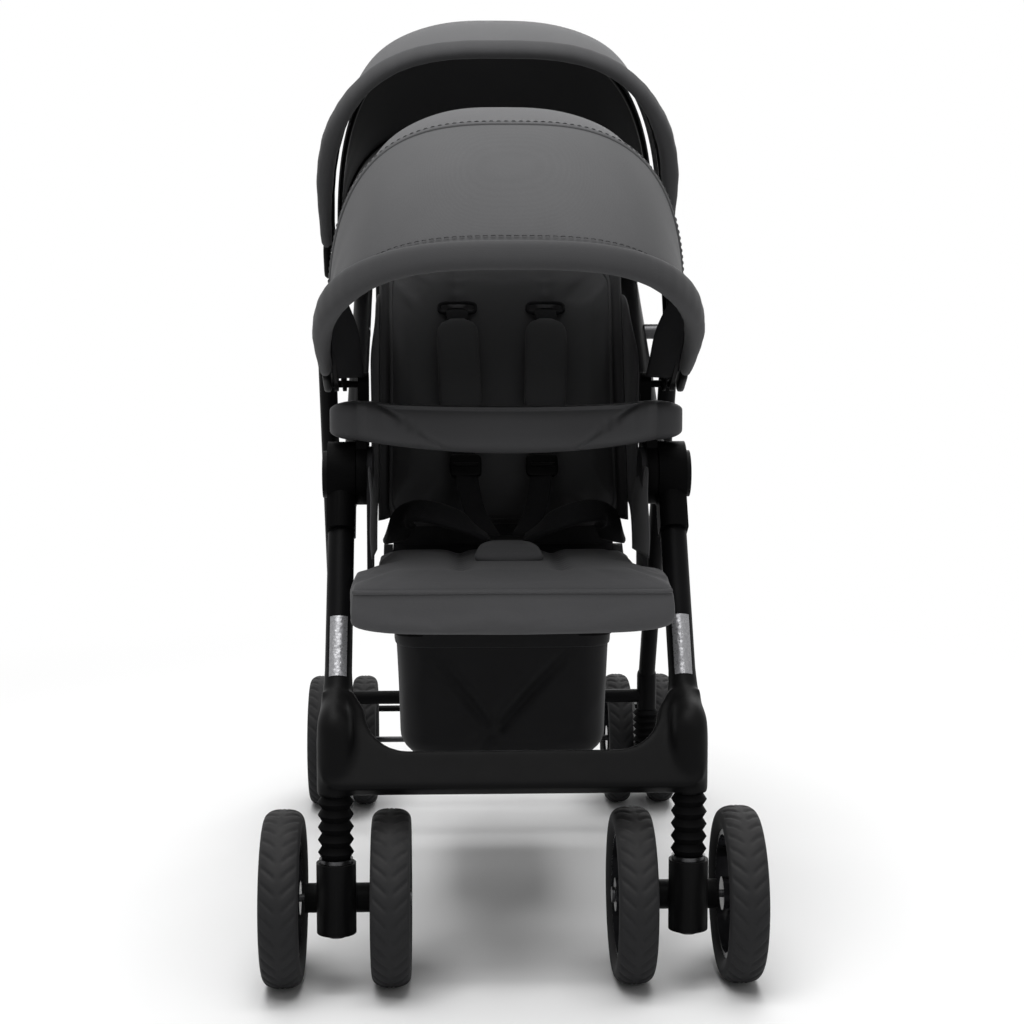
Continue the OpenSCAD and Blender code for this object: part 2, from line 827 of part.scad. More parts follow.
module front_canopy_bow() {
    color("#1a1a1c") bow(front_pivot, canopy_half_w, front_hem_angle + bow_turn, canopy_t + bow_gap);
}

module front_canopy_back() {
    color("#57575b") canopy_back(front_pivot, canopy_half_w, front_seam_angle, front_back_angle);
}

module rear_canopy_hood() {
    color("#4c4c50") canopy_hood(rear_pivot, rear_canopy_half_w, rear_hem_angle, rear_seam_angle);
}

module rear_canopy_bow() {
    color("#1a1a1c") bow(rear_pivot, rear_canopy_half_w, rear_hem_angle + bow_turn, canopy_t + bow_gap);
}

module rear_canopy_back() {
    color("#4c4c50") canopy_back(rear_pivot, rear_canopy_half_w, rear_seam_angle, rear_back_angle);
}

// Seat board with side plates and the lugs that carry the back
module seat_board(front_y, length, low, base, plate_top) {
    lug_out = back_board_w / 2 + side_gap + lug_t;
    translate([-seat_w / 2, front_y, low]) cube([seat_w, length, board_t]);
    translate([-lug_out, front_y + length - lug_d, low]) cube([2 * lug_out, lug_d, board_t]);
    for (s = sides) side(s) {
        difference() {
            slab_x(seat_w / 2, bracket_in) link([plate_top[0], low + plate_w / 2], plate_top, plate_w);
            for (k = sides) bar_x(tube_at(seat_bolt_back + k * bolt_spread), 0, overall_l, bolt_d);
        }
        slab_x(lug_out - lug_t, lug_out)
            link([front_y + length - lug_d / 2, low + lug_d / 2], base, lug_d);
        bar_x(base, back_board_w / 2 - back_pin_l, lug_out, back_pin_d);
    }
}

// Places on a back: X across, Z up the back, Y through it
module back_frame(base) {
    translate([0, base[0], base[1]]) rotate([-back_lean, 0, 0]) children();
}

module back_board(base) {
    back_frame(base) difference() {
        union() {
            translate([-back_board_w / 2, -board_t / 2, 0]) cube([back_board_w, board_t, back_l]);
            bar_x([0, 0], -back_board_w / 2, back_board_w / 2, lug_d);
        }
        for (s = sides) side(s)
            bar_x([0, 0], back_board_w / 2 - back_pin_l - side_gap, back_board_w, back_pin_d + 2 * run_gap);
    }
}

// Crowned cushion with drawn-in sides and two sewn channels along its length
function crown(u, v) = pillow_edge_share + (1 - pillow_edge_share) * (1 - pow(abs(u), 4)) * (1 - pow(abs(v), 4));
function channel(u) = exp(-pow((abs(u) - channel_share) / channel_w_share, 2));

module pillow(w, l, t, across, along) {
    row = across + 1;
    grid = [for (j = [0:along]) for (i = [0:across]) [2 * i / across - 1, 2 * j / along - 1]];
    plan = [for (g = grid) [
        w / 2 * g[0] * (1 - pull_share * (1 - g[1] * g[1])),
        l / 2 * g[1] * (1 - pull_share * (1 - g[0] * g[0]))
    ]];
    top = [for (i = [0:len(grid) - 1])
        concat(plan[i], [t * crown(grid[i][0], grid[i][1]) - channel_depth * channel(grid[i][0])])];
    low = [for (q = plan) concat(q, [0])];
    n = len(grid);
    rim = concat(
        [for (i = [0:across - 1]) i],
        [for (j = [0:along - 1]) j * row + across],
        [for (i = [across:-1:1]) along * row + i],
        [for (j = [along:-1:1]) j * row]
    );
    cells = [for (j = [0:along - 1]) for (i = [0:across - 1]) j * row + i];
    polyhedron(concat(top, low), concat(
        [for (c = cells) [c, c + row, c + row + 1]],
        [for (c = cells) [c, c + row + 1, c + 1]],
        [for (c = cells) [n + c, n + c + row + 1, n + c + row]],
        [for (c = cells) [n + c, n + c + 1, n + c + row + 1]],
        [for (i = [0:len(rim) - 1]) let (a = rim[i], b = rim[(i + 1) % len(rim)]) [a, b, n + b]],
        [for (i = [0:len(rim) - 1]) let (a = rim[i], b = rim[(i + 1) % len(rim)]) [a, n + b, n + a]]
    ));
}

module seat_cushion(front_y, length, low) {
    translate([0, front_y + length / 2, low + board_t + soft_gap])
        pillow(cushion_w, length, cushion_t, pillow_across, seat_rows);
}

module back_cushion(base) {
    long = back_l + back_over - back_foot;
    back_frame(base) translate([0, -board_t / 2 - soft_gap, back_foot + long / 2]) rotate([90, 0, 0])
        pillow(back_w, long, back_cushion_t, pillow_across, back_rows);
}

module front_seat_board() {
    color("#2c2c2f") seat_board(seat_front_y, front_seat_l, front_seat_z, front_base, [hinge_y, hinge_z]);
}

// Front seat cushion with the rounded lip that hangs over the front edge
module front_seat_cushion() {
    top = front_seat_z + board_t + cushion_t - lip_l / 2;
    low = front_seat_z - lip_drop + lip_l / 2;
    length = front_seat_l - cushion_back + lip_l / 2;
    color("#55555a") {
        seat_cushion(seat_front_y - lip_l / 2, length, front_seat_z);
        hull() for (s = sides) for (z = [low, top])
            translate([s * (lip_w / 2 - lip_l / 2), seat_front_y - lip_l / 2 - soft_gap, z])
                sphere(d = lip_l, $fn = 24);
    }
}

module front_back_board() {
    color("#2c2c2f") back_board(front_base);
}

module front_back_cushion() {
    color("#2e2e31") back_cushion(front_base);
}

module rear_seat_board() {
    color("#2c2c2f") seat_board(rear_seat_y, rear_seat_l, rear_seat_z, rear_base, tube_at(seat_bolt_back));
}

module rear_seat_cushion() {
    color("#55555a") seat_cushion(rear_seat_y, rear_seat_l - cushion_back, rear_seat_z);
}

module rear_back_board() {
    color("#2c2c2f") back_board(rear_base);
}

module rear_back_cushion() {
    color("#2e2e31") back_cushion(rear_base);
}

// Outline of the tray seen from above: round ends on the hinges and a bowed bar between them
function tray_bow(x, depth) = depth * (1 - pow(x / (tray_w / 2 - tray_end_r), 2));
function tray_edge_points(y, depth, from, to) =
    [for (i = [1:tray_steps - 1]) let (x = from + (to - from) * i / tray_steps) [x, y - tray_bow(x, depth)]];

module tray() {
    end = tray_w / 2 - tray_end_r;
    color("#3c3c40") difference() {
        translate([0, 0, tray_z]) linear_extrude(tray_h) polygon(concat(
            tray_edge_points(hinge_y - tray_end_r, tray_reach - tray_end_r, -end, end),
            arc([end, hinge_y], tray_end_r, -90, 90, 10),
            tray_edge_points(hinge_y + tray_end_r, tray_reach + tray_end_r - tray_band, end, -end),
            arc([-end, hinge_y], tray_end_r, 90, 270, 10)
        ));
        translate([-bracket_in - bracket_t / 2, hinge_y, tray_z - overrun])
            cylinder(d = tray_pin_d + 2 * run_gap, h = tray_pin_h + 2 * overrun);
    }
}

// Rounded rectangle seen from above
module rounded_plan(w, l, r) {
    translate([-w / 2 + r, 0]) square([w - 2 * r, l]);
    translate([-w / 2, r]) square([w, l - 2 * r]);
    for (s = sides) for (y = [r, l - r]) translate([s * (w / 2 - r), y]) circle(r = r);
}

// Open cloth basket with slanted lower corners
module basket_block(inset) {
    half = basket_w / 2 - inset;
    low = basket_low + inset;
    high = basket_low + basket_h + inset;
    intersection() {
        translate([0, basket_front_y + inset, low]) linear_extrude(high - low)
            rounded_plan(2 * half, basket_l - 2 * inset, basket_r - inset);
        translate([0, basket_front_y + basket_l, 0]) rotate([90, 0, 0]) linear_extrude(basket_l) polygon([
            [-half, high], [-half, low + basket_slope], [-half + basket_slope, low],
            [half - basket_slope, low], [half, low + basket_slope], [half, high]
        ]);
    }
}

module basket() {
    color("#2b2b2e") difference() {
        basket_block(0);
        basket_block(basket_t);
    }
}

// Rim of the basket with its four hangers
module basket_wire() {
    z = basket_low + basket_h;
    back_y = basket_front_y + basket_l - wire_d / 2;
    front_y = basket_front_y + wire_d / 2;
    color("#3a3a3d") {
        translate([0, basket_front_y, z]) linear_extrude(wire_d) difference() {
            rounded_plan(basket_w, basket_l, basket_r);
            translate([0, wire_d]) rounded_plan(basket_w - 2 * wire_d, basket_l - 2 * wire_d, basket_r - wire_d);
        }
        for (s = sides) {
            translate([s * hanger_x, front_y, z]) cylinder(d = hanger_d, h = front_seat_z - z);
            translate([s * hanger_x, back_y, z]) cylinder(d = hanger_d, h = rear_seat_z - z);
        }
    }
}

// Harness buckle that lies on the front cushion
module front_buckle() {
    z = front_seat_z + board_t + cushion_t + 2 * soft_gap;
    color("#0f0f11") translate([-buckle_w / 2, seat_front_y + front_seat_l / 2, z]) {
        translate([0, buckle_r, 0]) cube([buckle_w, buckle_l - 2 * buckle_r, buckle_h]);
        translate([buckle_r, 0, 0]) cube([buckle_w - 2 * buckle_r, buckle_l, buckle_h]);
        for (x = [buckle_r, buckle_w - buckle_r]) for (y = [buckle_r, buckle_l - buckle_r])
            translate([x, y, 0]) cylinder(r = buckle_r, h = buckle_h);
    }
}

push_frame();
foam_grip();
fold_trigger();
hinge_bracket(-1);  // hinge_bracket_left
hinge_bracket(1);  // hinge_bracket_right
hinge_pins();
frame_pins();
basket_wire();
front_buckle();
front_leg(-1);  // front_leg_left
front_leg(1);  // front_leg_right
front_cross_member();
reflective_bands();
hinge_drum(-1);  // hinge_drum_left
hinge_drum(1);  // hinge_drum_right
front_stem(-1);  // front_stem_left
front_stem(1);  // front_stem_right
front_bellows(-1);  // front_bellows_left
front_bellows(1);  // front_bellows_right
front_fork(-1);  // front_fork_left
front_fork(1);  // front_fork_right
front_axle(-1);  // front_axle_left
front_axle(1);  // front_axle_right
for (i = [0:3]) {
    front_wheel(i);
    front_tyre(i);
    rear_wheel(i);
    rear_tyre(i);
}
rear_legs();
rear_bellows();
rear_axle();
rear_arms();
brake_pedal();
front_canopy_hood();
front_canopy_bow();
front_canopy_back();
rear_canopy_hood();
rear_canopy_bow();
rear_canopy_back();
front_seat_board();
front_seat_cushion();
front_back_board();
front_back_cushion();
rear_seat_board();
rear_seat_cushion();
rear_back_board();
rear_back_cushion();
tray();
basket();
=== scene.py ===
"""Canopies, pads, harness, basket, tyres and finishes of a tandem stroller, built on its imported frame."""

import json
import math

import bpy
import numpy as np
from bpy.props import FloatProperty, FloatVectorProperty, IntProperty, PointerProperty
from mathutils import Matrix, Vector
from mathutils.bvhtree import BVHTree


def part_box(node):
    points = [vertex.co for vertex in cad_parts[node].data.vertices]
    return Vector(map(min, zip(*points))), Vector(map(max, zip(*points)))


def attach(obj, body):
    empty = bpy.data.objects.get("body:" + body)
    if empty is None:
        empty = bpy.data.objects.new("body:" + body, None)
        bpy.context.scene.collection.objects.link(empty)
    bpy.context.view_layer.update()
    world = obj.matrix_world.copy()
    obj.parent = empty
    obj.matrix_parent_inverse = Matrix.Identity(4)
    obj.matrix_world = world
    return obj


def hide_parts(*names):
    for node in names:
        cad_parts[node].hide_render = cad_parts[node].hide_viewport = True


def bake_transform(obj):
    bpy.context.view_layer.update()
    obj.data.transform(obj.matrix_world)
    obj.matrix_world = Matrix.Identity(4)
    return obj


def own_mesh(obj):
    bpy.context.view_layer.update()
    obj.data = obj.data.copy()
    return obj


bl_info = {
    "name": "Tandem stroller",
    "version": (1, 0, 0),
    "blender": (4, 5, 0),
    "location": "View3D > Sidebar > Stroller",
    "description": "Dresses the stroller's frame with its canopies, pads, harness, basket and tyres",
    "category": "Object",
}

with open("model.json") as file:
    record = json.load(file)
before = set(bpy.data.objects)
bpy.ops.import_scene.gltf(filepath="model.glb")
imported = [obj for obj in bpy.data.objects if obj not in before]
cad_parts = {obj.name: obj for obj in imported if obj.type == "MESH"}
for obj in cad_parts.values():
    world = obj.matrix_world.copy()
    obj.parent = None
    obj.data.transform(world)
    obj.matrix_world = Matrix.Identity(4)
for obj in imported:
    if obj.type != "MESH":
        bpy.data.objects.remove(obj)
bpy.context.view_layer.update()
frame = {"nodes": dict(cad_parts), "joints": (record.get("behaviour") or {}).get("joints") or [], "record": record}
JOINT_AT = {j["name"]: np.array(j["pos_m"]) for j in frame["joints"] if "pos_m" in j}
SIDES = ((-1, "left"), (1, "right"))
SEATS = ("front", "rear")
UP, FORWARD = np.array([0.0, 0.0, 1.0]), np.array([0.0, -1.0, 0.0])
TINY = 1e-9


def length(name, text, default):
    """A size in metres."""
    return FloatProperty(name=name, description=text, default=default, unit="LENGTH", precision=4)


def colour(name, text, default):
    """A colour, as it is painted or dyed."""
    return FloatVectorProperty(name=name, description=text, default=default, subtype="COLOR", min=0, max=1)


class StrollerSizes(bpy.types.PropertyGroup):
    """Sizes of the dressed pieces that a user would change."""

    front_canopy_half_w: length("Front canopy half width", "Half the width over its cloth", 0.198)
    rear_canopy_half_w: length("Rear canopy half width", "Half the width over its cloth", 0.214)
    canopy_r: length("Canopy height", "From a canopy's pivot to the top of its arch", 0.311)
    canopy_nest: length("Canopy nesting", "How far the rear panel lies inside the hood", 0.008)
    canopy_sag: length("Canopy sag", "How far the cloth sinks between two bows", 0.004)
    cloth_t: length("Cloth thickness", "Thickness of the canopy cloth", 0.002)
    hem_w: length("Hem width", "Width of the padded hem on top of the arch", 0.030)
    hem_t: length("Hem thickness", "Thickness of the padded hem", 0.014)
    curtain_w: length("Lining width", "Width of the lining drawn in from the front hood's hem", 0.034)
    piping_d: length("Piping", "Diameter of the sewn piping", 0.0042)
    channel_depth: length("Channel depth", "Depth of the sewn channels in the pads", 0.007)
    strap_w: length("Strap width", "Width of the shoulder straps", 0.025)
    tray_scoop: length("Tray scoop", "Depth of the hollow in the tray's front", 0.013)
    tray_groove: length("Tray groove", "Depth of the two slanted creases", 0.0045)
    tray_droop: length("Tray droop", "How far the front's lower edge hangs in the middle", 0.008)
    tray_lean: length("Tray lean", "How far the tray's end faces lean back", 0.008)
    leg_flare: length("Leg flare", "Length over which the cross member thins into its legs", 0.034)
    tread_depth: length("Tread depth", "Depth of the tyre's herringbone grooves", 0.0016)
    tread_count: IntProperty(name="Tread count", description="Grooves round a tyre's side", default=34, min=8)


class StrollerColours(bpy.types.PropertyGroup):
    """Colours of the finishes, as they are painted or dyed."""

    canopy: colour("Canopy cloth", "Outer cloth of both canopies", (0.105, 0.105, 0.108))
    # The hem colour is partly the hem's own darker cloth and partly painted shade, lowered so that its sides look
    # shaded.
    hem: colour("Hem cloth", "Padded hems of the canopies", (0.056, 0.056, 0.058))
    # The inner cloth of the canopies is painted shade: a near-black copy of the canopy cloth for their dark
    # inside.
    lining: colour("Lining", "Inner face of the canopies", (0.012, 0.012, 0.013))
    seat: colour("Seat cloth", "Cover of the seat pads and their lip", (0.078, 0.078, 0.081))
    back: colour("Back cloth", "Cover of the back pads", (0.064, 0.064, 0.066))
    basket: colour("Basket cloth", "Nylon of the basket", (0.011, 0.011, 0.012))
    webbing: colour("Webbing", "Straps of the harness", (0.009, 0.009, 0.010))
    paint: colour("Frame paint", "Powder coat of the steel tubes", (0.0035, 0.0035, 0.0038))
    plastic: colour("Black plastic", "Forks, brackets and cross member", (0.0028, 0.0028, 0.003))
    hinge: colour("Hinge plastic", "Fold hinges", (0.0012, 0.0012, 0.0013))
    tray: colour("Tray plastic", "Bumper tray", (0.050, 0.050, 0.052))
    board: colour("Board plastic", "Boards of the seats and backs", (0.014, 0.014, 0.015))
    rim: colour("Rim plastic", "Spoked wheels", (0.009, 0.009, 0.010))
    tyre: colour("Tyre rubber", "Foamed tyres", (0.024, 0.024, 0.025))
    bellows: colour("Bellows rubber", "Skin over the suspension", (0.0022, 0.0022, 0.0024))
    grip: colour("Grip foam", "Sleeve of the handle", (0.02, 0.02, 0.021))
    steel: colour("Blackened steel", "Pins, axles and wire", (0.05, 0.05, 0.052))
    film: colour("Reflective film", "Bands on the front legs", (0.30, 0.30, 0.31))
    film_wall: colour("Film cells", "Walls of the film's cells", (0.22, 0.22, 0.23))


def sizes():
    return bpy.context.scene.stroller_sizes


def colours():
    return bpy.context.scene.stroller_colours


def unit(v):
    """Vectors at a length of 1."""
    return v / np.maximum(np.linalg.norm(v, axis=-1, keepdims=True), TINY)


def bell(x, width, power=2):
    """1 at 0, falling off smoothly on both sides."""
    return np.exp(-((x / width) ** power))


def ramp(x, start, run):
    """0 up to start, then rising to 1 over a run."""
    return np.clip((x - start) / run, 0, 1)


def ease(share):
    """A share from 0 to 1 that starts and ends gently."""
    return share * share * (3 - 2 * share)


def blunt_ends(count, power, least):
    """Scale along a piece that is full in its middle and rounds off at its ends."""
    return np.sqrt(np.clip(1 - np.linspace(-1, 1, count) ** power, least, 1))


def smooth_faces(mesh):
    mesh.polygons.foreach_set("use_smooth", [True] * len(mesh.polygons))


def coords(obj):
    """Places of a mesh object's points."""
    flat = np.zeros(len(obj.data.vertices) * 3, np.float32)
    obj.data.vertices.foreach_get("co", flat)
    return flat.reshape(-1, 3).astype(float)


def set_coords(obj, points):
    obj.data.vertices.foreach_set("co", np.asarray(points, np.float32).ravel())
    obj.data.update()


def add_object(name, data):
    obj = bpy.data.objects.new(name, data)
    bpy.context.scene.collection.objects.link(obj)
    return obj


def add_mesh(name, points, faces, inner=()):
    """A smooth mesh object in the row frame. Faces named in inner take the second material."""
    mesh = bpy.data.meshes.new(name)
    mesh.from_pydata([tuple(map(float, p)) for p in points], [], [tuple(map(int, f)) for f in faces])
    mesh.validate()
    smooth_faces(mesh)
    for i in inner:
        mesh.polygons[i].material_index = 1
    mesh.update()
    return add_object(name, mesh)


def remesh(obj, voxel):
    """Makes one even skin of a mesh."""
    bpy.context.view_layer.objects.active = obj
    obj.data.remesh_voxel_size = voxel
    with bpy.context.temp_override(object=obj, active_object=obj, selected_objects=[obj]):
        bpy.ops.object.voxel_remesh()


def turned(faces):
    """Faces that look the other way."""
    return [f[::-1] for f in faces]


def grid_faces(rows, cols, ring=False):
    """Faces of a grid of points, row by row. A ring joins each row's last point to its first."""
    span = cols if ring else cols - 1
    return [
        (r * cols + c, r * cols + (c + 1) % cols, (r + 1) * cols + (c + 1) % cols, (r + 1) * cols + c)
        for r in range(rows - 1)
        for c in range(span)
    ]


def tube_faces(rows, cols):
    """Faces of a row of rings with both ends capped."""
    ends = [tuple(range(cols))[::-1], tuple(range((rows - 1) * cols, rows * cols))]
    return grid_faces(rows, cols, ring=True) + ends


def loop_faces(rows, cols):
    """Faces of a row of rings whose last ring meets its first."""
    return [tuple(i % (rows * cols) for i in f) for f in grid_faces(rows + 1, cols, ring=True)]


def closed_faces(rows, cols, flip=False):
    """Faces of a grid, of a like grid behind it and of the edge between them."""
    count = rows * cols
    rim = list(range(cols - 1)) + [r * cols + cols - 1 for r in range(rows - 1)]
    rim += [(rows - 1) * cols + c for c in range(cols - 1, 0, -1)]
    rim += [r * cols for r in range(rows - 1, 0, -1)]
    front = grid_faces(rows, cols)
    edge = [(a, count + a, count + b, b) for a, b in zip(rim, rim[1:] + rim[:1])]
    if flip:
        front, edge = turned(front), turned(edge)
    return front + [tuple(count + i for i in f[::-1]) for f in front] + edge


def add_shell(name, grid, t, flip=False):
    """Cloth of thickness t: the grid is its outer face, and the inner face and edges close it."""
    rows, cols = grid.shape[:2]
    out = unit(np.cross(np.gradient(grid, axis=1), np.gradient(grid, axis=0))) * (-1 if flip else 1)
    points = np.concatenate([grid, grid - out * t]).reshape(-1, 3)
    count = (rows - 1) * (cols - 1)
    return add_mesh(name, points, closed_faces(rows, cols, flip), inner=range(count, 2 * count))


def cut_size(grid):
    """Longest run down and across a grid of cloth, and its area."""
    down = np.linalg.norm(np.diff(grid, axis=0), axis=2).sum(0).max()
    across = np.linalg.norm(np.diff(grid, axis=1), axis=2).sum(1).max()
    a, b = grid[1:, :-1] - grid[:-1, :-1], grid[:-1, 1:] - grid[:-1, :-1]
    return down, across, float(np.linalg.norm(np.cross(a, b), axis=2).sum())


def oval(w, t, count=16, power=2.0):
    """Section of a roll or a strap: a superellipse w wide and t thick."""
    a = np.linspace(0, 2 * math.pi, count, endpoint=False)
    turn = np.stack([np.cos(a), np.sin(a)], 1)
    return np.array([w, t]) / 2 * np.sign(turn) * abs(turn) ** (2 / power)


def sweep(points, up, section, scale=1.0):
    """A closed section, (side, normal) pairs, carried along a path with capped ends, as (points, faces).

    The normal stays near up. A scale is one number, one for each point, or a pair for each point.
    """
    points = np.asarray(points, float)
    tangent = unit(np.gradient(points, axis=0))
    side = unit(np.cross(tangent, np.broadcast_to(np.asarray(up, float), points.shape)))
    normal = np.cross(side, tangent)
    scale = np.reshape(scale, (-1, 1)) if np.ndim(scale) < 2 else scale
    sized = section[None] * np.broadcast_to(scale, (len(points), 2))[:, None]
    rings = points[:, None] + side[:, None] * sized[..., :1] + normal[:, None] * sized[..., 1:]
    return rings.reshape(-1, 3), tube_faces(len(points), len(section))


def loop_roll(line, d, count):
    """Round roll along a closed line that lies flat, as (points, faces)."""
    side = unit(np.cross(np.roll(line, -1, 0) - np.roll(line, 1, 0), UP))
    section = oval(d, d, count)
    rings = line[:, None] + side[:, None] * section[None, :, :1] + UP * section[None, :, 1:]
    return rings.reshape(-1, 3), loop_faces(len(line), count)


def joined(pieces):
    """Several (points, faces) pairs as one."""
    points, faces, base = [], [], 0
    for p, f in pieces:
        points.append(np.asarray(p, float))
        faces += [tuple(base + i for i in face) for face in f]
        base += len(p)
    return np.concatenate(points), faces


def placed(place, points):
    """Points carried by a matrix."""
    flat = np.array([place @ Vector(p) for p in points.reshape(-1, 3)])
    return flat.reshape(points.shape)


def run_along(points):
    """Distance from a path's start at each of its points."""
    return np.concatenate([[0], np.cumsum(np.linalg.norm(np.diff(points, axis=0), axis=1))])


def values_at(at, run, values):
    """Vectors between those along a path, at distances from its start."""
    return np.stack([np.interp(at, run, values[:, k]) for k in range(3)], 1)


def smooth_path(points, count, fineness=24):
    """A curve through the points, evenly spaced, by cubic blending."""
    p = np.asarray(points, float)
    p = np.concatenate([2 * p[:1] - p[1:2], p, 2 * p[-1:] - p[-2:-1]])
    t = np.linspace(0, 1, fineness, endpoint=False)[:, None]
    fine = []
    for a, b, c, d in zip(p, p[1:], p[2:], p[3:]):
        square, cube = 2 * a - 5 * b + 4 * c - d, 3 * b - a - 3 * c + d
        fine.append(0.5 * (2 * b + (c - a) * t + square * t**2 + cube * t**3))
    fine = np.concatenate([*fine, p[-2:-1]])
    run = run_along(fine)
    return values_at(np.linspace(0, run[-1], count), run, fine)


def stitch_row(points, normals, pitch=0.0075, share=0.6, d=0.0011):
    """A row of short thread stitches lying on a surface, as (points, faces)."""
    run, made = run_along(points), []
    along = np.array([-1, -0.4, 0.4, 1]) * pitch * share / 2
    lift = np.array([-0.4, 0.3, 0.3, -0.4])[:, None] * d
    for at in np.arange(pitch / 2, run[-1] - pitch / 2, pitch):
        n = values_at(at + along, run, normals)
        made.append(sweep(values_at(at + along, run, points) + n * lift, n, oval(d, d, 6)))
    return joined(made)


def finish_piece(obj, body, slot, *materials, replaces=()):
    """Gives a piece its materials and the body that it rides on. Its slot is not used."""
    for m in materials:
        obj.data.materials.append(m)
    if body:
        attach(obj, body)
    if replaces:
        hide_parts(*replaces)
    return obj


def feed(tree, socket, value):
    """Links a socket to another, or sets its value."""
    if isinstance(value, bpy.types.NodeSocket):
        tree.links.new(value, socket)
    else:
        socket.default_value = value


def feed_all(tree, n, values):
    """Links or sets a node's sockets by name."""
    for key, value in values.items():
        feed(tree, n.inputs[key], value)


def node(tree, kind, *values, operation=None, **named):
    """A shader node whose sockets are fed in order, and then by name."""
    n = tree.nodes.new(kind)
    if operation:
        n.operation = operation
    for socket, value in zip(n.inputs, values):
        feed(tree, socket, value)
    feed_all(tree, n, named)
    return n


def maths(tree, operation, *values):
    return node(tree, "ShaderNodeMath", *values, operation=operation).outputs[0]


def scaled(tree, vector, by):
    return node(tree, "ShaderNodeVectorMath", vector, operation="SCALE", Scale=by).outputs[0]


def noise(tree, place, scale, **named):
    return node(tree, "ShaderNodeTexNoise", Vector=place, Scale=scale, **named).outputs[0]


def ranged(tree, value, *limits):
    """A value carried from one range to another, or to 0 and 1."""
    return node(tree, "ShaderNodeMapRange", value, *limits).outputs[0]


def shade(tree, factor, dark, light):
    """Mixes two colours by a factor."""
    n = tree.nodes.new("ShaderNodeMix")
    n.data_type = "RGBA"
    for i, value in ((0, factor), (6, dark), (7, light)):
        feed(tree, n.inputs[i], value)
    return n.outputs[2]


def object_place(tree):
    return tree.nodes.new("ShaderNodeTexCoord").outputs["Object"]


def new_group(name, inputs, outputs):
    """An empty shader group and its two ends. A socket called Colour holds a colour, any other a number."""
    tree = bpy.data.node_groups.new(name, "ShaderNodeTree")
    for way, labels in (("INPUT", inputs), ("OUTPUT", outputs)):
        for label in labels:
            kind = "NodeSocketColor" if label == "Colour" else "NodeSocketFloat"
            socket = tree.interface.new_socket(label, in_out=way, socket_type=kind)
            if way == "INPUT":
                socket.default_value = inputs[label]
    return tree, tree.nodes.new("NodeGroupInput").outputs, tree.nodes.new("NodeGroupOutput")


SLUBS, KNOT_HEIGHT, KNOT_TONE = 420.0, 0.22, 0.2
FADE_PATCHES = 11.0
FADED_DARK, FADED_LIGHT = 0.72, 1.35


def make_weave():
    """Plain weave with slubs and faint fading."""
    inputs = {"Colour": (0.1, 0.1, 0.1, 1), "Pitch": 0.0014, "Fade": 0.2}
    tree, given, end = new_group("weave", inputs, ("Colour", "Height", "Roughness"))
    place = object_place(tree)
    turns = maths(tree, "DIVIDE", 2 * math.pi, given["Pitch"])
    wave = node(tree, "ShaderNodeVectorMath", scaled(tree, place, turns), operation="SINE")
    x, y, z = node(tree, "ShaderNodeSeparateXYZ", wave.outputs[0]).outputs
    two = maths(tree, "ADD", maths(tree, "MULTIPLY", x, y), maths(tree, "MULTIPLY", y, z))
    knots = maths(tree, "ADD", two, maths(tree, "MULTIPLY", z, x))
    slub = noise(tree, place, SLUBS, Detail=3.0)
    yarn = maths(tree, "MULTIPLY_ADD", knots, KNOT_HEIGHT, slub)
    patches = noise(tree, place, FADE_PATCHES, Detail=4.0, Roughness=0.6)
    fade = maths(tree, "MULTIPLY", patches, given["Fade"])
    both = maths(tree, "MULTIPLY_ADD", yarn, KNOT_TONE, fade)
    darker, lighter = (scaled(tree, given["Colour"], by) for by in (FADED_DARK, FADED_LIGHT))
    rough = maths(tree, "MULTIPLY_ADD", slub, 0.16, 0.72)
    feed_all(tree, end, {"Colour": shade(tree, both, darker, lighter), "Height": yarn, "Roughness": rough})
    return tree


GLOSS_PATCHES = 26.0


def make_grain():
    """Fine grain of moulded or sprayed surfaces, with slow changes of gloss."""
    inputs = {"Size": 0.0012, "Gloss": 0.4, "Spread": 0.14}
    tree, given, end = new_group("grain", inputs, ("Height", "Roughness"))
    place = object_place(tree)
    cells = noise(tree, place, maths(tree, "DIVIDE", 1.0, given["Size"]), Detail=2.0)
    slow = noise(tree, place, GLOSS_PATCHES, Detail=5.0, Roughness=0.62)
    change = maths(tree, "SUBTRACT", slow, 0.5)
    rough = maths(tree, "MULTIPLY_ADD", change, given["Spread"], given["Gloss"])
    feed_all(tree, end, {"Height": cells, "Roughness": rough})
    return tree


WEAR_PATCHES, RUBBED_LIGHT = 60.0, 3.2
SHARP_FROM, SHARP_TO = 0.53, 0.62
DUST = (0.16, 0.155, 0.15, 1)


def make_wear():
    """Edges rubbed paler, and dust that lies on the upper faces."""
    inputs = {"Colour": (0.02, 0.02, 0.02, 1), "Edge": 0.5, "Dust": 0.1}
    tree, given, end = new_group("wear", inputs, ("Colour",))
    shape = tree.nodes.new("ShaderNodeNewGeometry").outputs
    patch = noise(tree, object_place(tree), WEAR_PATCHES, Detail=5.0)
    sharp = ranged(tree, shape["Pointiness"], SHARP_FROM, SHARP_TO)
    edge = maths(tree, "MULTIPLY", maths(tree, "MULTIPLY", sharp, patch), given["Edge"])
    top = ranged(tree, node(tree, "ShaderNodeSeparateXYZ", shape["Normal"]).outputs[2], 0.2, 1.0)
    dust = maths(tree, "MULTIPLY", maths(tree, "MULTIPLY", top, patch), given["Dust"])
    worn = shade(tree, edge, given["Colour"], scaled(tree, given["Colour"], RUBBED_LIGHT))
    feed_all(tree, end, {"Colour": shade(tree, dust, worn, DUST)})
    return tree


MAKERS = {"weave": make_weave, "grain": make_grain, "wear": make_wear}


def use_group(tree, name, **values):
    """Places a shared effect in a material, with its own values."""
    n = tree.nodes.new("ShaderNodeGroup")
    n.node_tree = bpy.data.node_groups.get(name) or MAKERS[name]()
    feed_all(tree, n, values)
    return n.outputs


def new_material(name):
    made = bpy.data.materials.new(name)
    made.use_nodes = True
    return made, made.node_tree, made.node_tree.nodes["Principled BSDF"]


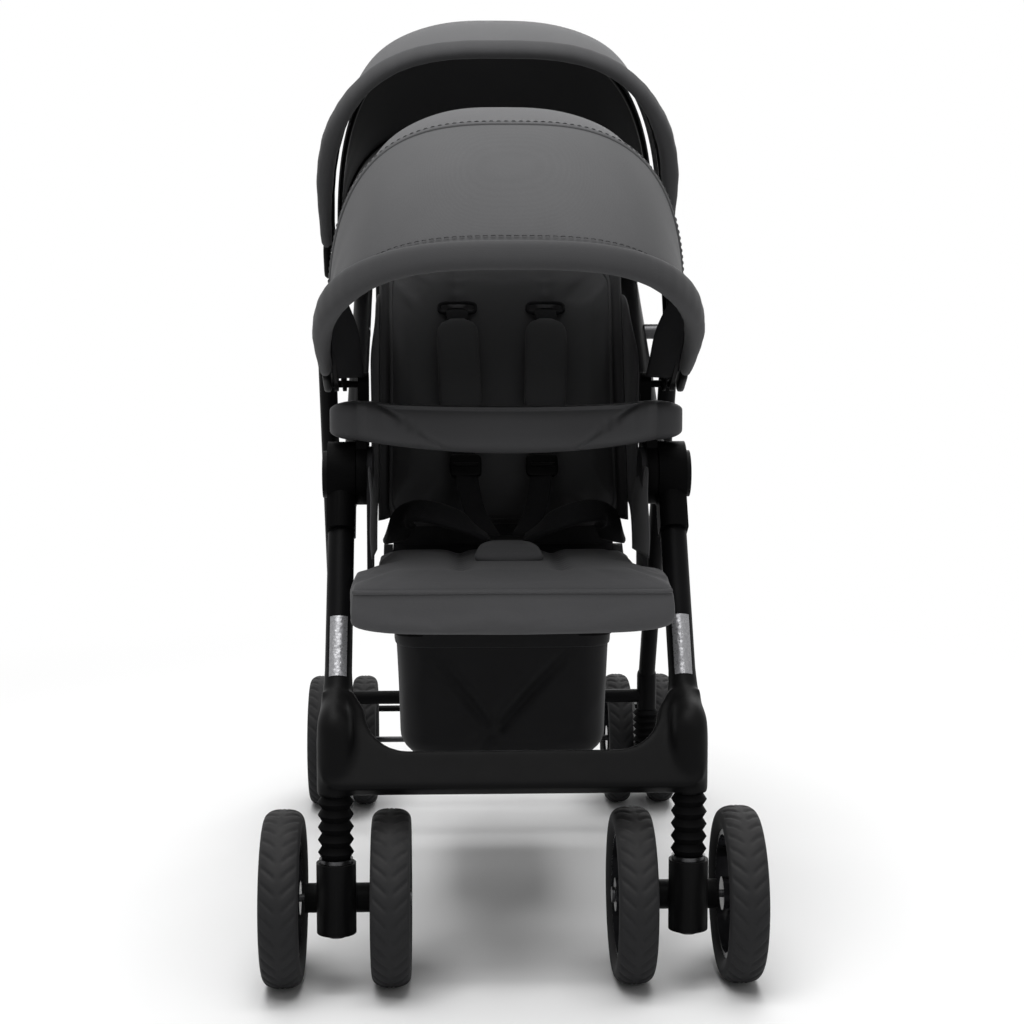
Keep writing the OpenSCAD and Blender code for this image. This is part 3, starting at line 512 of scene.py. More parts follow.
def bump(tree, height, strength, distance):
    return node(tree, "ShaderNodeBump", Strength=strength, Distance=distance, Height=height).outputs[0]


def rgba(c):
    return (*c[:3], 1.0)


def cloth(name, tint, pitch=0.0014, fade=0.2, sheen=0.25, depth=0.0002, coat=0.0):
    """Woven cloth with a soft sheen. A coat is the proofing of nylon."""
    found = bpy.data.materials.get(name)
    if found:
        return found
    made, tree, bsdf = new_material(name)
    weave = use_group(tree, "weave", Colour=rgba(tint), Pitch=pitch, Fade=fade)
    feed_all(tree, bsdf, {
        "Base Color": weave["Colour"],
        "Roughness": weave["Roughness"],
        "Normal": bump(tree, weave["Height"], 0.35, depth),
        "Sheen Weight": sheen,
        "Sheen Roughness": 0.45,
        "Specular IOR Level": 0.12,
        "Coat Weight": coat,
        "Coat Roughness": 0.36,
    })
    return made


def hard(
    name, tint, gloss=0.42, spread=0.14, size=0.0012, depth=0.00012,
    edge=0.5, dust=0.05, metal=0.0, coat=0.0, shine=0.06,
):
    """Painted metal, moulded plastic or rubber, with grain, rubbed edges and a little dust."""
    found = bpy.data.materials.get(name)
    if found:
        return found
    made, tree, bsdf = new_material(name)
    grain = use_group(tree, "grain", Size=size, Gloss=gloss, Spread=spread)
    wear = use_group(tree, "wear", Colour=rgba(tint), Edge=edge, Dust=dust)
    feed_all(tree, bsdf, {
        "Base Color": wear["Colour"],
        "Roughness": grain["Roughness"],
        "Normal": bump(tree, grain["Height"], 0.25, depth),
        "Metallic": metal,
        "Specular IOR Level": shine,
        "Coat Weight": coat,
        "Coat Roughness": 0.12,
    })
    return made


FILM_CELLS = 300.0


def reflective_film():
    """Silver film pressed into small cells."""
    found = bpy.data.materials.get("reflective_film")
    if found:
        return found
    made, tree, bsdf = new_material("reflective_film")
    pattern = node(tree, "ShaderNodeTexVoronoi", Vector=object_place(tree), Scale=FILM_CELLS)
    cells = pattern.outputs["Distance"]
    wall = ranged(tree, cells, 0.1, 0.75)
    feed_all(tree, bsdf, {
        "Base Color": shade(tree, wall, rgba(colours().film), rgba(colours().film_wall)),
        "Roughness": ranged(tree, cells, 0.0, 1.0, 0.18, 0.45),
        "Normal": bump(tree, cells, 0.6, 0.0004),
        "Metallic": 0.55,
    })
    return made


def canopy_cloth():
    return cloth("canopy_cloth", colours().canopy, pitch=0.0012, fade=0.28, sheen=0.06)


# Hem cloth: its own darker tone, lowered further as painted shade for the hem's shaded sides.
def hem_cloth():
    return cloth("hem_cloth", colours().hem, pitch=0.0012, fade=0.28, sheen=0.06)


# Near-black inner cloth is painted shade for the dark inside of the canopies and for the front hood's linings.
def lining_cloth():
    return cloth("lining_cloth", colours().lining, pitch=0.0012, fade=0.1, sheen=0.0)


def seat_cloth():
    return cloth("seat_cloth", colours().seat, pitch=0.0013, fade=0.3, sheen=0.07)


def back_cloth():
    return cloth("back_cloth", colours().back, pitch=0.0013, fade=0.3, sheen=0.05)


def basket_cloth():
    return cloth("basket_cloth", colours().basket, pitch=0.0011, fade=0.35, sheen=0.04, coat=0.08)


def webbing():
    return cloth("webbing", colours().webbing, pitch=0.0022, fade=0.15, sheen=0.03, depth=0.0007)


def thread():
    """Sewing thread, a little darker than the canopy."""
    return cloth("sewing_thread", [c * 0.85 for c in colours().canopy], pitch=0.0008, fade=0.1, sheen=0.1)


def black_plastic():
    return hard("moulded_black", colours().plastic, gloss=0.46, size=0.0009)


def hinge_black():
    return hard("hinge_black", colours().hinge, gloss=0.5, size=0.0009, dust=0.01, edge=0.3, shine=0.03)


def board_plastic():
    return hard("seat_board", colours().board, gloss=0.5, size=0.0014, depth=0.0003)


def tray_plastic():
    return hard("tray_grain", colours().tray, gloss=0.5, size=0.0011, depth=0.0002, dust=0.08)


def rim_plastic():
    look = {"gloss": 0.2, "spread": 0.1, "size": 0.003, "depth": 0.00004}
    return hard("gloss_rim", colours().rim, edge=1.0, coat=0.25, **look)


def tyre_rubber():
    look = {"gloss": 0.66, "spread": 0.2, "size": 0.0007, "depth": 0.0002}
    return hard("tyre_rubber", colours().tyre, edge=0.7, dust=0.22, **look)


def bellows_rubber():
    look = {"gloss": 0.62, "size": 0.0008, "depth": 0.00016}
    return hard("bellows_skin", colours().bellows, dust=0.02, shine=0.03, **look)


def grip_foam():
    look = {"gloss": 0.82, "spread": 0.1, "size": 0.0009, "depth": 0.0005}
    return hard("handle_foam", colours().grip, dust=0.1, **look)


def blackened_steel():
    look = {"gloss": 0.34, "spread": 0.16, "size": 0.0015, "depth": 0.00005}
    return hard("blackened_steel", colours().steel, edge=0.6, metal=1.0, **look)


def frame_paint():
    look = {"gloss": 0.4, "spread": 0.1, "size": 0.0022, "depth": 0.00006}
    return hard("frame_paint", colours().paint, edge=0.2, dust=0.01, shine=0.035, **look)


# Angles of the canopies are in degrees, up from straight ahead.
CANOPIES = (
    {"name": "front", "joint": "front_hood_fold", "body": "front_hood", "hem": 27, "seam": 58, "back": 105},
    {"name": "rear", "joint": "rear_hood_fold", "body": "rear_hood", "hem": 55, "seam": 97, "back": 140},
)
ARCH_POWER, ARCH_TAPER = 3.0, 0.04
FOOT_SHARE = 0.012
HOOD_LAP, EDGE_DROP, BINDING_IN, STITCH_IN = 3, 2.2, 0.8, 2.0
STITCH_UP = 0.0002
FOOT_RUN, FOLD_DEPTH, SLACK_DEPTH = 0.13, 0.0011, 0.0007
HEM_INSIDE, HEM_STATIONS = 0.0045, 129
HEM_END, HEM_TIP, HEM_FILL, HEM_STUFFED = 0.80, 0.0235, 1.1, 0.45
CURTAIN_SHARE, CURTAIN_INSET, CURTAIN_T, CURTAIN_FOLD = 0.15, 0.004, 0.0012, 0.0012
BOW_W, BOW_T = 0.009, 0.004
EYE_D, EYE_T, EYE_ROUND = 0.016, 0.0037, 0.0004
BOW_GAP = 0.0024
BINDING_W, BINDING_T, BINDING_UP = 0.010, 0.0042, 0.0022
CLIP_W, CLIP_T, CLIP_INSET = 0.021, 0.0095, 0.0035
CLIP_FROM, CLIP_TO, CLIP_STATIONS = -0.006, 0.046, 9


def arch(c, u, inset):
    """Distance from the pivot line and place across, for shares u round a canopy's arch."""
    half_w, r = c["half_w"] - inset, sizes().canopy_r - inset
    turn, out = np.cos(math.pi * u), r * np.sin(math.pi * u) ** (2 / ARCH_POWER)
    k = 1 - ARCH_TAPER * (1 - out / r)
    return out, half_w * k * np.sign(turn) * abs(turn) ** (2 / ARCH_POWER)


def at_angle(pivot, out, x, angle):
    """Points at a distance from the pivot line, at an angle up from straight ahead."""
    out, x, a = np.broadcast_arrays(out, x, np.radians(angle))
    return np.stack([x, pivot[1] - out * np.cos(a), pivot[2] + out * np.sin(a)], -1)


def arch_line(c, angle, inset, count=97, foot=FOOT_SHARE):
    """Points round an arch, and the outward direction at each."""
    out, x = arch(c, np.linspace(foot, 1 - foot, count), inset)
    rise, run = np.gradient(out), np.gradient(x)
    size = np.hypot(rise, run)
    ahead = at_angle((0, 0, 0), 1.0, 0.0, angle)
    outward = np.outer(rise / size, [1, 0, 0]) + np.outer(-run / size, ahead)
    return at_angle(c["pivot"], out, x, angle), outward


def canopy_panel(c, name, inset, start, stop):
    """Cloth stretched between two bows, sunk between them and drawn into small folds at its feet."""
    u = np.linspace(FOOT_SHARE, 1 - FOOT_SHARE, 97)[:, None]
    t = np.linspace(0, 1, 29)[None, :]
    foot = bell(np.minimum(u, 1 - u), FOOT_RUN)
    sag = sizes().canopy_sag * 4 * t * (1 - t) * (1 - 0.5 * foot)
    folds = FOLD_DEPTH * foot * np.sin(2 * math.pi * (3.2 * t + 0.2)) * np.sin(math.pi * t)
    slack = SLACK_DEPTH * np.sin(2 * math.pi * (5 * u + 0.35 * t)) * np.sin(math.pi * t)
    out, x = arch(c, u, inset + sag + folds + slack)
    grid = at_angle(c["pivot"], out, x, start + (stop - start) * t)
    across, along, area = cut_size(grid)
    return add_shell(name, grid, sizes().cloth_t), (round(across, 3), round(along, 3)), round(area, 4)


def hem_roll(c, name):
    """Padded roll sewn to the front edge of a hood. It is widest at the shoulders and thins to its feet."""
    s = sizes()
    u = np.linspace(FOOT_SHARE, 1 - FOOT_SHARE, HEM_STATIONS)
    at = abs(2 * u - 1)
    full = HEM_FILL + HEM_STUFFED * bell(at - 0.72, 0.2)
    end = ramp(at, HEM_END, 1 - 2 * FOOT_SHARE - HEM_END)
    tip = np.sqrt(np.clip(1 - ramp(at, at[0] - HEM_TIP, HEM_TIP) ** 2, 0.02, 1))
    wide = (1 + 0.34 * bell(at - 0.62, 0.22) - 0.25 * end**2) * tip
    pucker = 1 + 0.025 * np.sin(2 * math.pi * 31 * u) + 0.02 * np.sin(2 * math.pi * 12.3 * u)
    thick = (full - 0.25 * end) * tip * pucker
    path, outward = arch_line(c, c["edge"], HEM_INSIDE - s.hem_t / 2 * full, HEM_STATIONS)
    section = oval(s.hem_w, s.hem_t, 24, 2.3)
    return add_mesh(name, *sweep(path, outward, section, np.stack([wide, thick], 1)))


def hood_curtain(c, s):
    """Lining that is drawn in from a hood's hem towards the seat on one side."""
    u = np.linspace(0.004, CURTAIN_SHARE, 49)[:, None]
    t = np.linspace(0, 1, 13)[None, :]
    drawn = sizes().curtain_w * (1 - 0.85 * (u / CURTAIN_SHARE) ** 2)
    folds = CURTAIN_FOLD * np.sin(2 * math.pi * (9 * u + 0.6 * t)) * t
    out, x = arch(c, u, CURTAIN_INSET + drawn * t + folds)
    return at_angle(c["pivot"], out, s * x, c["hem"] - 1 + 10 * t)


def add_curtains(c):
    """Both linings inside a hood."""
    ahead = at_angle((0, 0, 0), 1.0, 0.0, c["hem"] + 4)
    for s, side in SIDES:
        grid = hood_curtain(c, s)
        piece = add_shell(f"{c['name']}_hood_lining_{side}", grid, CURTAIN_T, flip=s < 0)
        # Both faces take the near-black inner cloth, which is painted shade.
        finish_piece(piece, c["body"], "canopy_fabric", lining_cloth(), lining_cloth())
        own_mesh(piece)


def bow_and_eyes(c, angle, inset):
    """Flat plastic bow at one angle with a round eye at each pivot, as (points, faces)."""
    span = (c["half_w"] - inset) * (1 - ARCH_TAPER)
    path, outward = arch_line(c, angle, inset, 81, foot=0.0)
    made = [sweep(path, outward, oval(BOW_W, BOW_T, 12, 5))]
    reach = span + np.array([-EYE_T - EYE_ROUND, -EYE_T, 0, EYE_ROUND])
    for s, _ in SIDES:
        eye = [(s * x, *c["pivot"][1:]) for x in reach]
        made.append(sweep(eye, UP, oval(EYE_D, EYE_D, 24), [0.9, 1, 1, 0.9]))
    return joined(made)


def hood_clips(c):
    """Plastic clips that hold a hood's hem to its pivots, as (points, faces)."""
    out, ends = np.linspace(CLIP_FROM, CLIP_TO, CLIP_STATIONS), blunt_ends(CLIP_STATIONS, 8, 0.15)
    section, x = oval(CLIP_W, CLIP_T, 16, 3.5), c["half_w"] - CLIP_INSET
    paths = [(s, at_angle(c["pivot"], out, s * x, c["edge"])) for s, _ in SIDES]
    return joined([sweep(path, (s, 0, 0), section, ends) for s, path in paths])


def bound_edge(c, name, body, angle, inset, more=()):
    """Folded binding tape along an edge of the cloth, and its stitches with any more rows of them."""
    path, outward = arch_line(c, angle, inset)
    tape = add_mesh(f"{name}_binding", *sweep(path, outward, oval(BINDING_W, BINDING_T, 12, 2.6)))
    finish_piece(tape, body, "canopy_fabric", canopy_cloth())
    rows = [stitch_row(path + outward * BINDING_UP, outward), *more]
    sewn = add_mesh(f"{name}_stitches", *joined(rows))
    finish_piece(sewn, body, "canopy_fabric", thread())
    return [tape, sewn]


def add_hood(c):
    """Front half of a canopy, which folds: cloth, padded hem, binding, linings and clips."""
    name, body, seam = c["name"], c["body"], c["seam"] + HOOD_LAP
    hood, flat, area = canopy_panel(c, f"{name}_hood_cloth", 0.0, c["edge"], seam)
    covered = [f"{name}_canopy_hood"]
    # The hood's inner face takes the near-black inner cloth, painted shade for the inside of the hood.
    finish_piece(hood, body, "canopy_fabric", canopy_cloth(), lining_cloth(), replaces=covered)
    hem = hem_roll(c, f"{name}_hood_hem")
    # The hem's colour is partly painted shade.
    finish_piece(hem, body, "canopy_fabric", hem_cloth())
    hem_row = stitch_row(*arch_line(c, c["hem"] + STITCH_IN, -STITCH_UP))
    sewn = bound_edge(c, f"{name}_hood", body, seam - BINDING_IN, sizes().cloth_t / 2, [hem_row])
    if name == "front":
        add_curtains(c)
    clips = add_mesh(f"{name}_hood_clips", *hood_clips(c))
    finish_piece(clips, body, "black_plastic", black_plastic())


def add_rear_panel(c):
    """Rear half of a canopy, which stays: cloth, binding and bows."""
    s, name = sizes(), c["name"]
    panel, flat, area = canopy_panel(c, f"{name}_canopy_cloth", s.canopy_nest, c["seam"], c["back"])
    covered = [f"{name}_canopy_back"]
    # The panel's inner face takes the near-black inner cloth, painted shade for the inside of the canopy.
    finish_piece(panel, "frame", "canopy_fabric", canopy_cloth(), lining_cloth(), replaces=covered)
    inset = s.canopy_nest + s.cloth_t
    sewn = bound_edge(c, f"{name}_canopy", "frame", c["back"] - BINDING_IN, inset - s.cloth_t / 2)
    ribs = [bow_and_eyes(c, a, inset + BOW_GAP) for a in (c["seam"] + HOOD_LAP, c["back"] - HOOD_LAP)]
    finish_piece(add_mesh(f"{name}_canopy_ribs", *joined(ribs)), "frame", "black_plastic", black_plastic())


class STROLLER_OT_canopies(bpy.types.Operator):
    """Both canopies: hoods with padded hems, rear panels, bindings and bows"""

    bl_idname = "stroller.canopies"
    bl_label = "Canopies"

    def execute(self, context):
        for c in CANOPIES:
            half_w = getattr(sizes(), f"{c['name']}_canopy_half_w")
            c = dict(c, pivot=JOINT_AT[c["joint"]], half_w=half_w, edge=c["hem"] - EDGE_DROP)
            add_hood(c)
            add_rear_panel(c)
        return {"FINISHED"}


BACK_LEAN = math.radians(21)
BACK_FOOT, BACK_LONG, BOARD_HALF = 0.022, 0.336, 0.0053
BACK_OUT = np.array([0, -math.cos(BACK_LEAN), math.sin(BACK_LEAN)])
PAD_VOXEL, PAD_HELD, PAD_CAP = 0.005, 0.0035, 0.004
FILL_FRAMES = 20
FILL_CLOTH = {
    "quality": 5,
    "mass": 0.3,
    "tension_stiffness": 15,
    "compression_stiffness": 15,
    "bending_stiffness": 0.6,
    "use_pressure": True,
    "uniform_pressure_force": 4.0,
}
CHANNELS = (-0.051, 0.051)
CHANNEL_W, CHANNEL_END, PUCKER_PITCH = 0.0085, 0.03, 0.017
SEAT_PAD_W, SEAT_PAD_T, SEAT_PAD_GAP = 0.278, 0.022, 0.006
BACK_PAD = (0.276, 0.330, 0.027)


def swell(obj, held, cap):
    """Remeshes a closed pad and fills it by cloth pressure. Held points stay, and none moves over cap."""
    remesh(obj, PAD_VOXEL)
    start = coords(obj)
    group = obj.vertex_groups.new(name="held")
    group.add([int(i) for i in np.nonzero(held(start))[0]], 1.0, "REPLACE")
    modifier = obj.modifiers.new("fill", "CLOTH")
    for key, value in FILL_CLOTH.items():
        setattr(modifier.settings, key, value)
    modifier.settings.vertex_group_mass = group.name
    modifier.settings.effector_weights.gravity = 0
    modifier.collision_settings.use_collision = False
    modifier.point_cache.frame_start, modifier.point_cache.frame_end = 1, FILL_FRAMES
    for f in range(1, FILL_FRAMES + 1):
        bpy.context.scene.frame_set(f)
    move = coords(obj.evaluated_get(bpy.context.evaluated_depsgraph_get())) - start
    far = np.maximum(np.linalg.norm(move, axis=1, keepdims=True), TINY)
    obj.modifiers.remove(modifier)
    obj.vertex_groups.remove(group)
    bpy.context.scene.frame_set(1)
    set_coords(obj, start + move * np.minimum(1, cap / far))


def smooth_finish(obj):
    """Smooth faces, divided once."""
    smooth_faces(obj.data)
    sub = obj.modifiers.new("smooth", "SUBSURF")
    sub.levels = sub.render_levels = 1


def channel_cut(x, y, half_l, depth):
    """Depth of the sewn channels at places across and along a pad, with the pucker of their stitches."""
    pucker = 1 + 0.18 * np.sin(2 * math.pi * y / PUCKER_PITCH)
    cut = np.maximum(*(bell(x - line, CHANNEL_W) * pucker for line in CHANNELS))
    return depth * cut * ramp(half_l - abs(y), 0, CHANNEL_END)


def pillow(name, w, l, t):
    """Closed pad with a crown and drawn-in sides, on its back at z 0, before it is filled."""
    rows, cols, pull = 31, 27, 0.035
    v, u = np.meshgrid(np.linspace(-1, 1, rows), np.linspace(-1, 1, cols), indexing="ij")
    corner = 1 - 0.06 * (abs(u) * abs(v)) ** 6
    x = w / 2 * u * (1 - pull * (1 - v * v)) * corner
    y = l / 2 * v * (1 - pull * (1 - u * u)) * corner
    crown = np.sqrt(np.clip((1 - abs(u) ** 5) * (1 - abs(v) ** 5), 0, 1))
    top = np.stack([x, y, t * (0.45 + 0.55 * crown)], -1)
    low = np.stack([0.985 * x, 0.985 * y, 0 * x], -1)
    return add_mesh(name, np.concatenate([top, low]).reshape(-1, 3), closed_faces(rows, cols))


def pad_tree(obj):
    polygons = [tuple(p.vertices) for p in obj.data.polygons]
    return BVHTree.FromPolygons([v.co for v in obj.data.vertices], polygons)


def cast(tree, origin, direction, lift):
    """Where a ray meets a pad, lifted off its surface, or None."""
    hit, normal, _, _ = tree.ray_cast(Vector(origin), Vector(direction).normalized())
    return None if hit is None else np.array(hit + normal * lift)


def edge_piping(tree, w, l, z):
    """Piping round the side of a pad, as (points, faces)."""
    rays, outside, square, passes = 180, 1.6, 0.3, 6
    d = sizes().piping_d
    found = []
    for a in np.linspace(0, 2 * math.pi, rays, endpoint=False):
        c, s = math.cos(a), math.sin(a)
        side = np.array([w / 2 * np.sign(c) * abs(c) ** square, l / 2 * np.sign(s) * abs(s) ** square, z])
        p = cast(tree, side * (outside, outside, 1), -side * (1, 1, 0), d * 0.15)
        if p is not None:
            found.append(p)
    found = np.array(found)
    for _ in range(passes):
        found = (np.roll(found, 1, 0) + 2 * found + np.roll(found, -1, 0)) / 4
    return loop_roll(found, d, 10)


def add_pad(name, covered, body, size, place, cover, slot):
    """A filled pad with two sewn channels and piped sides, set in its place."""
    w, l, t = size
    pad = pillow(name, w, l, t)
    swell(pad, lambda p: p[:, 2] < PAD_HELD, PAD_CAP)
    trim = add_mesh(f"{name}_piping", *edge_piping(pad_tree(pad), w, l, t * 0.5))
    p = coords(pad)
    high = ramp(p[:, 2], 0.3 * t, 0.3 * t)
    p[:, 2] -= high * channel_cut(p[:, 0], p[:, 1], l / 2, sizes().channel_depth)
    set_coords(pad, p)
    for o in (pad, trim):
        o.data.transform(place)
    smooth_finish(pad)
    finish_piece(pad, body, slot, cover, replaces=[covered])
    finish_piece(trim, body, slot, cover)


# Places (y, z) round the front seat pad, along its top, over its lip and back under it.
LIP_SECTION = (
    (-0.2155, 0.399), (-0.2145, 0.4095), (-0.2195, 0.418), (-0.26, 0.4215), (-0.36, 0.4225), (-0.43, 0.4235),
    (-0.456, 0.422), (-0.471, 0.415), (-0.476, 0.403), (-0.4765, 0.385), (-0.474, 0.372), (-0.466, 0.365),
    (-0.456, 0.365), (-0.449, 0.372), (-0.447, 0.386), (-0.447, 0.3985), (-0.43, 0.399), (-0.32, 0.399),
)
LIP_POINTS, SEAT_STATIONS = 72, 41
SEAT_HALF, LIP_HALF = 0.140, 0.163
WIDER_FROM, WIDER_RUN = 0.335, 0.06
SEAT_MIDDLE, LIP_BEGINS = -0.36, -0.44
LIP_MIDDLE_Z, SEAT_MIDDLE_Z = 0.395, 0.4095
SEAT_CAP, SEAT_UNDER, LIP_BACK = 0.0035, 0.4015, -0.452
SEAM_HALF, SEAM_Z, SEAM_D, SEAM_UP = 0.1635, 0.4075, 0.0045, 0.0008
SEAM_TO_STITCHES, BEFORE_SEAT = np.array([0, 0.0002, -0.0062]), -0.60
SEAT_TOP, CHANNEL_MIDDLE, CHANNEL_HALF = 0.412, -0.33, 0.13


def seat_rings():
    """Sections of the front seat pad from side to side, wider over its lip and drawn in at its ends."""
    section = np.array([(0, *p) for p in (*LIP_SECTION, LIP_SECTION[0])])
    y, z = smooth_path(section, LIP_POINTS + 1)[:-1, 1:].T
    half = SEAT_HALF + (LIP_HALF - SEAT_HALF) * ease(ramp(-y, WIDER_FROM, WIDER_RUN))
    middle_z = np.where(y < LIP_BEGINS, LIP_MIDDLE_Z, SEAT_MIDDLE_Z)
    rings = []
    for s in np.sin(np.linspace(-1, 1, SEAT_STATIONS) * math.pi / 2):
        end = (1 - abs(s) ** 7) ** 0.35 if abs(s) < 1 else 0.0
        deep = SEAT_MIDDLE + (y - SEAT_MIDDLE) * (0.93 + 0.07 * end)
        tall = middle_z + (z - middle_z) * (0.5 + 0.5 * end)
        rings.append(np.stack([s * half, deep, tall], 1))
    return np.concatenate(rings)


def front_seat_pad():
    """Front seat pad whose front rolls over the board's edge as a deep lip, with its piping and stitches."""
    pad = add_mesh("front_seat_pad", seat_rings(), tube_faces(SEAT_STATIONS, LIP_POINTS))
    swell(pad, lambda p: (p[:, 2] < SEAT_UNDER) & (p[:, 1] > LIP_BACK), SEAT_CAP)
    tree = pad_tree(pad)
    across = np.linspace(-SEAM_HALF, SEAM_HALF, 65)
    starts = [(x, BEFORE_SEAT, SEAM_Z + 0.001 * math.cos(9 * x)) for x in across]
    hits = [cast(tree, start, -FORWARD, SEAM_UP) for start in starts]
    seam = np.array([hit for hit in hits if hit is not None])
    trim = add_mesh("front_seat_lip_piping", *sweep(seam, FORWARD, oval(SEAM_D, SEAM_D, 10)))
    rows = stitch_row(seam + SEAM_TO_STITCHES, np.tile(FORWARD, (len(seam), 1)))
    sewn = add_mesh("front_seat_stitches", *rows)
    p = coords(pad)
    on_top = ramp(p[:, 2], SEAT_TOP, 0.005) * ramp(p[:, 1], LIP_BACK, 0.03)
    depth = 0.8 * sizes().channel_depth
    p[:, 2] -= on_top * channel_cut(p[:, 0], p[:, 1] - CHANNEL_MIDDLE, CHANNEL_HALF, depth)
    set_coords(pad, p)
    smooth_finish(pad)
    finish_piece(pad, "frame", "seat_fabric", seat_cloth(), replaces=["front_seat_cushion"])
    finish_piece(trim, "frame", "seat_fabric", seat_cloth())
    finish_piece(sewn, "frame", "seat_fabric", thread())


def back_frame(name):
    """Where a back board stands: X across, Z up the back, Y out of its rear."""
    place = Matrix.Translation(Vector(JOINT_AT[f"{name}_back_recline"]))
    return place @ Matrix.Rotation(-BACK_LEAN, 4, "X")


class STROLLER_OT_pads(bpy.types.Operator):
    """Seat and back pads, filled by cloth pressure, with sewn channels and piping"""

    bl_idname = "stroller.pads"
    bl_label = "Pads"

    def execute(self, context):
        front_seat_pad()
        low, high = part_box("rear_seat_cushion")
        size = (SEAT_PAD_W, high.y - low.y - SEAT_PAD_GAP, SEAT_PAD_T)
        place = Matrix.Translation((0, (low.y + high.y) / 2, low.z))
        add_pad("rear_seat_pad", "rear_seat_cushion", "frame", size, place, seat_cloth(), "seat_fabric")
        middle = Matrix.Translation((0, -BOARD_HALF, BACK_FOOT + BACK_LONG / 2))
        lying = middle @ Matrix.Rotation(math.pi / 2, 4, "X")
        for name in SEATS:
            names = (f"{name}_back_pad", f"{name}_back_cushion", f"{name}_back")
            add_pad(*names, BACK_PAD, back_frame(name) @ lying, back_cloth(), "back_fabric")
        return {"FINISHED"}


# Places on the back are (across, up the back, out of its board), and the others are measured from the buckle.
BUCKLE_AT = np.array([0.0, -0.292, 0.437])
SHOULDER_ROUTE = (
    (0.051, 0.287, 0.025),
    (0.051, 0.268, 0.039),
    (0.050, 0.215, 0.041),
    (0.047, 0.150, 0.042),
    (0.043, 0.090, 0.043),
)
SHOULDER_END, SHOULDER_SAG = (0.016, 0.014, 0.004), (0.006, 0.002, -0.004)
SHOULDER_T = 0.0022
SLEEVE_W, SLEEVE_T, SLEEVE_STATIONS = 0.048, 0.0135, 25
SLIDER_SIZE, SLOT_SIZE = (0.036, 0.027, 0.008), (0.042, 0.013, 0.0042)
SLOT_AT = (0.051, 0.285, 0.0315)
WAIST_ROUTE = ((0.122, 0.072, -0.004), (0.102, 0.022, 0.032), (0.056, -0.006, 0.026), (0.021, 0.002, 0.004))
WAIST_UPS = ((-0.4, -0.9, 0.2), (-0.3, -0.9, 0.3), (0, -0.7, 0.7), (0, -0.2, 1.0))
WAIST_W, WAIST_T = 0.030, 0.0075
CROTCH_ROUTE = ((0, -0.072, -0.0115), (0, -0.052, -0.002), (0, -0.022, 0.001))
CROTCH_W, CROTCH_T, CROTCH_STATIONS = 0.062, 0.012, 21
CROTCH_FRONT, CROTCH_BACK = 1.25, 0.85


def mirrored(s, points):
    """Places given for the right, on side s."""
    return np.array(points) * (s, 1, 1)


def on_back(x, along, lift):
    """A place on the front seat's back."""
    return np.array(back_frame("front") @ Vector((x, -BOARD_HALF - lift, along)))


def strap(points, ups, w, t, count=40):
    """Flat webbing along a curve, as (points, faces)."""
    return sweep(smooth_path(points, count), smooth_path(ups, count), oval(w, t, 12, 6))


def slot_ring(place, w, h, d):
    """Rounded edge of a slot in the XY plane of place, as (points, faces)."""
    points, faces = loop_roll(np.pad(oval(w, h, 48, 4), ((0, 0), (0, 1))), d, 8)
    return placed(place, points), faces


def slider(place, w, h, t):
    """Moulded slider with a raised bar, as (points, faces)."""
    stack = [(0, 0, a * t) for a in (-0.5, -0.42, 0.30, 0.45, 0.5)]
    block = sweep(stack, -FORWARD, oval(w, h, 24, 5), [0.92, 1.0, 1.0, 0.9, 0.78])
    bar = [(a, 0, t * 0.52) for a in np.linspace(-0.4, 0.4, 7) * w]
    points, faces = joined([block, sweep(bar, UP, oval(0.005, 0.004, 10))])
    return placed(place, points), faces


def shoulder_pieces(s):
    """Shoulder strap, sleeve, slider and slot on one side, each as (points, faces)."""
    turn = Matrix.Rotation(-BACK_LEAN, 4, "X") @ Matrix.Rotation(math.pi / 2, 4, "X")
    face = [on_back(*place) for place in mirrored(s, SHOULDER_ROUTE)]
    end = BUCKLE_AT + mirrored(s, SHOULDER_END)
    bend = face[-1] * 0.45 + end * 0.55 + mirrored(s, SHOULDER_SAG)
    ups = [BACK_OUT] * len(face) + [BACK_OUT * 0.5 + np.array([0, -0.2, 0.6]), UP]
    over = smooth_path([p + BACK_OUT * 0.001 for p in face[1:4]], SLEEVE_STATIONS)
    slider_at = Matrix.Translation(Vector(face[-1] + BACK_OUT * 0.002)) @ turn
    slot_at = Matrix.Translation(Vector(on_back(*mirrored(s, SLOT_AT)))) @ turn
    return {
        "shoulder_straps": strap([*face, bend, end], ups, sizes().strap_w, SHOULDER_T),
        "strap_sleeves": sweep(
            over, BACK_OUT, oval(SLEEVE_W, SLEEVE_T, 20, 2.8), blunt_ends(SLEEVE_STATIONS, 10, 0.12)
        ),
        "strap_sliders": slider(slider_at, *SLIDER_SIZE),
        "strap_slots": slot_ring(slot_at, *SLOT_SIZE),
    }


def waist_strap(s):
    """Padded strap from the seat's corner to the buckle on one side, as (points, faces)."""
    return strap(BUCKLE_AT + mirrored(s, WAIST_ROUTE), mirrored(s, WAIST_UPS), WAIST_W, WAIST_T)


def crotch_pad():
    """Pad under the buckle, widest in front, as (points, faces)."""
    path = smooth_path(BUCKLE_AT + np.array(CROTCH_ROUTE), CROTCH_STATIONS)
    ends = blunt_ends(CROTCH_STATIONS, 10, 0.1)
    wide = np.linspace(CROTCH_FRONT, CROTCH_BACK, CROTCH_STATIONS)
    return sweep(path, UP, oval(CROTCH_W, CROTCH_T, 20, 2.8), np.stack([ends * wide, ends], 1))


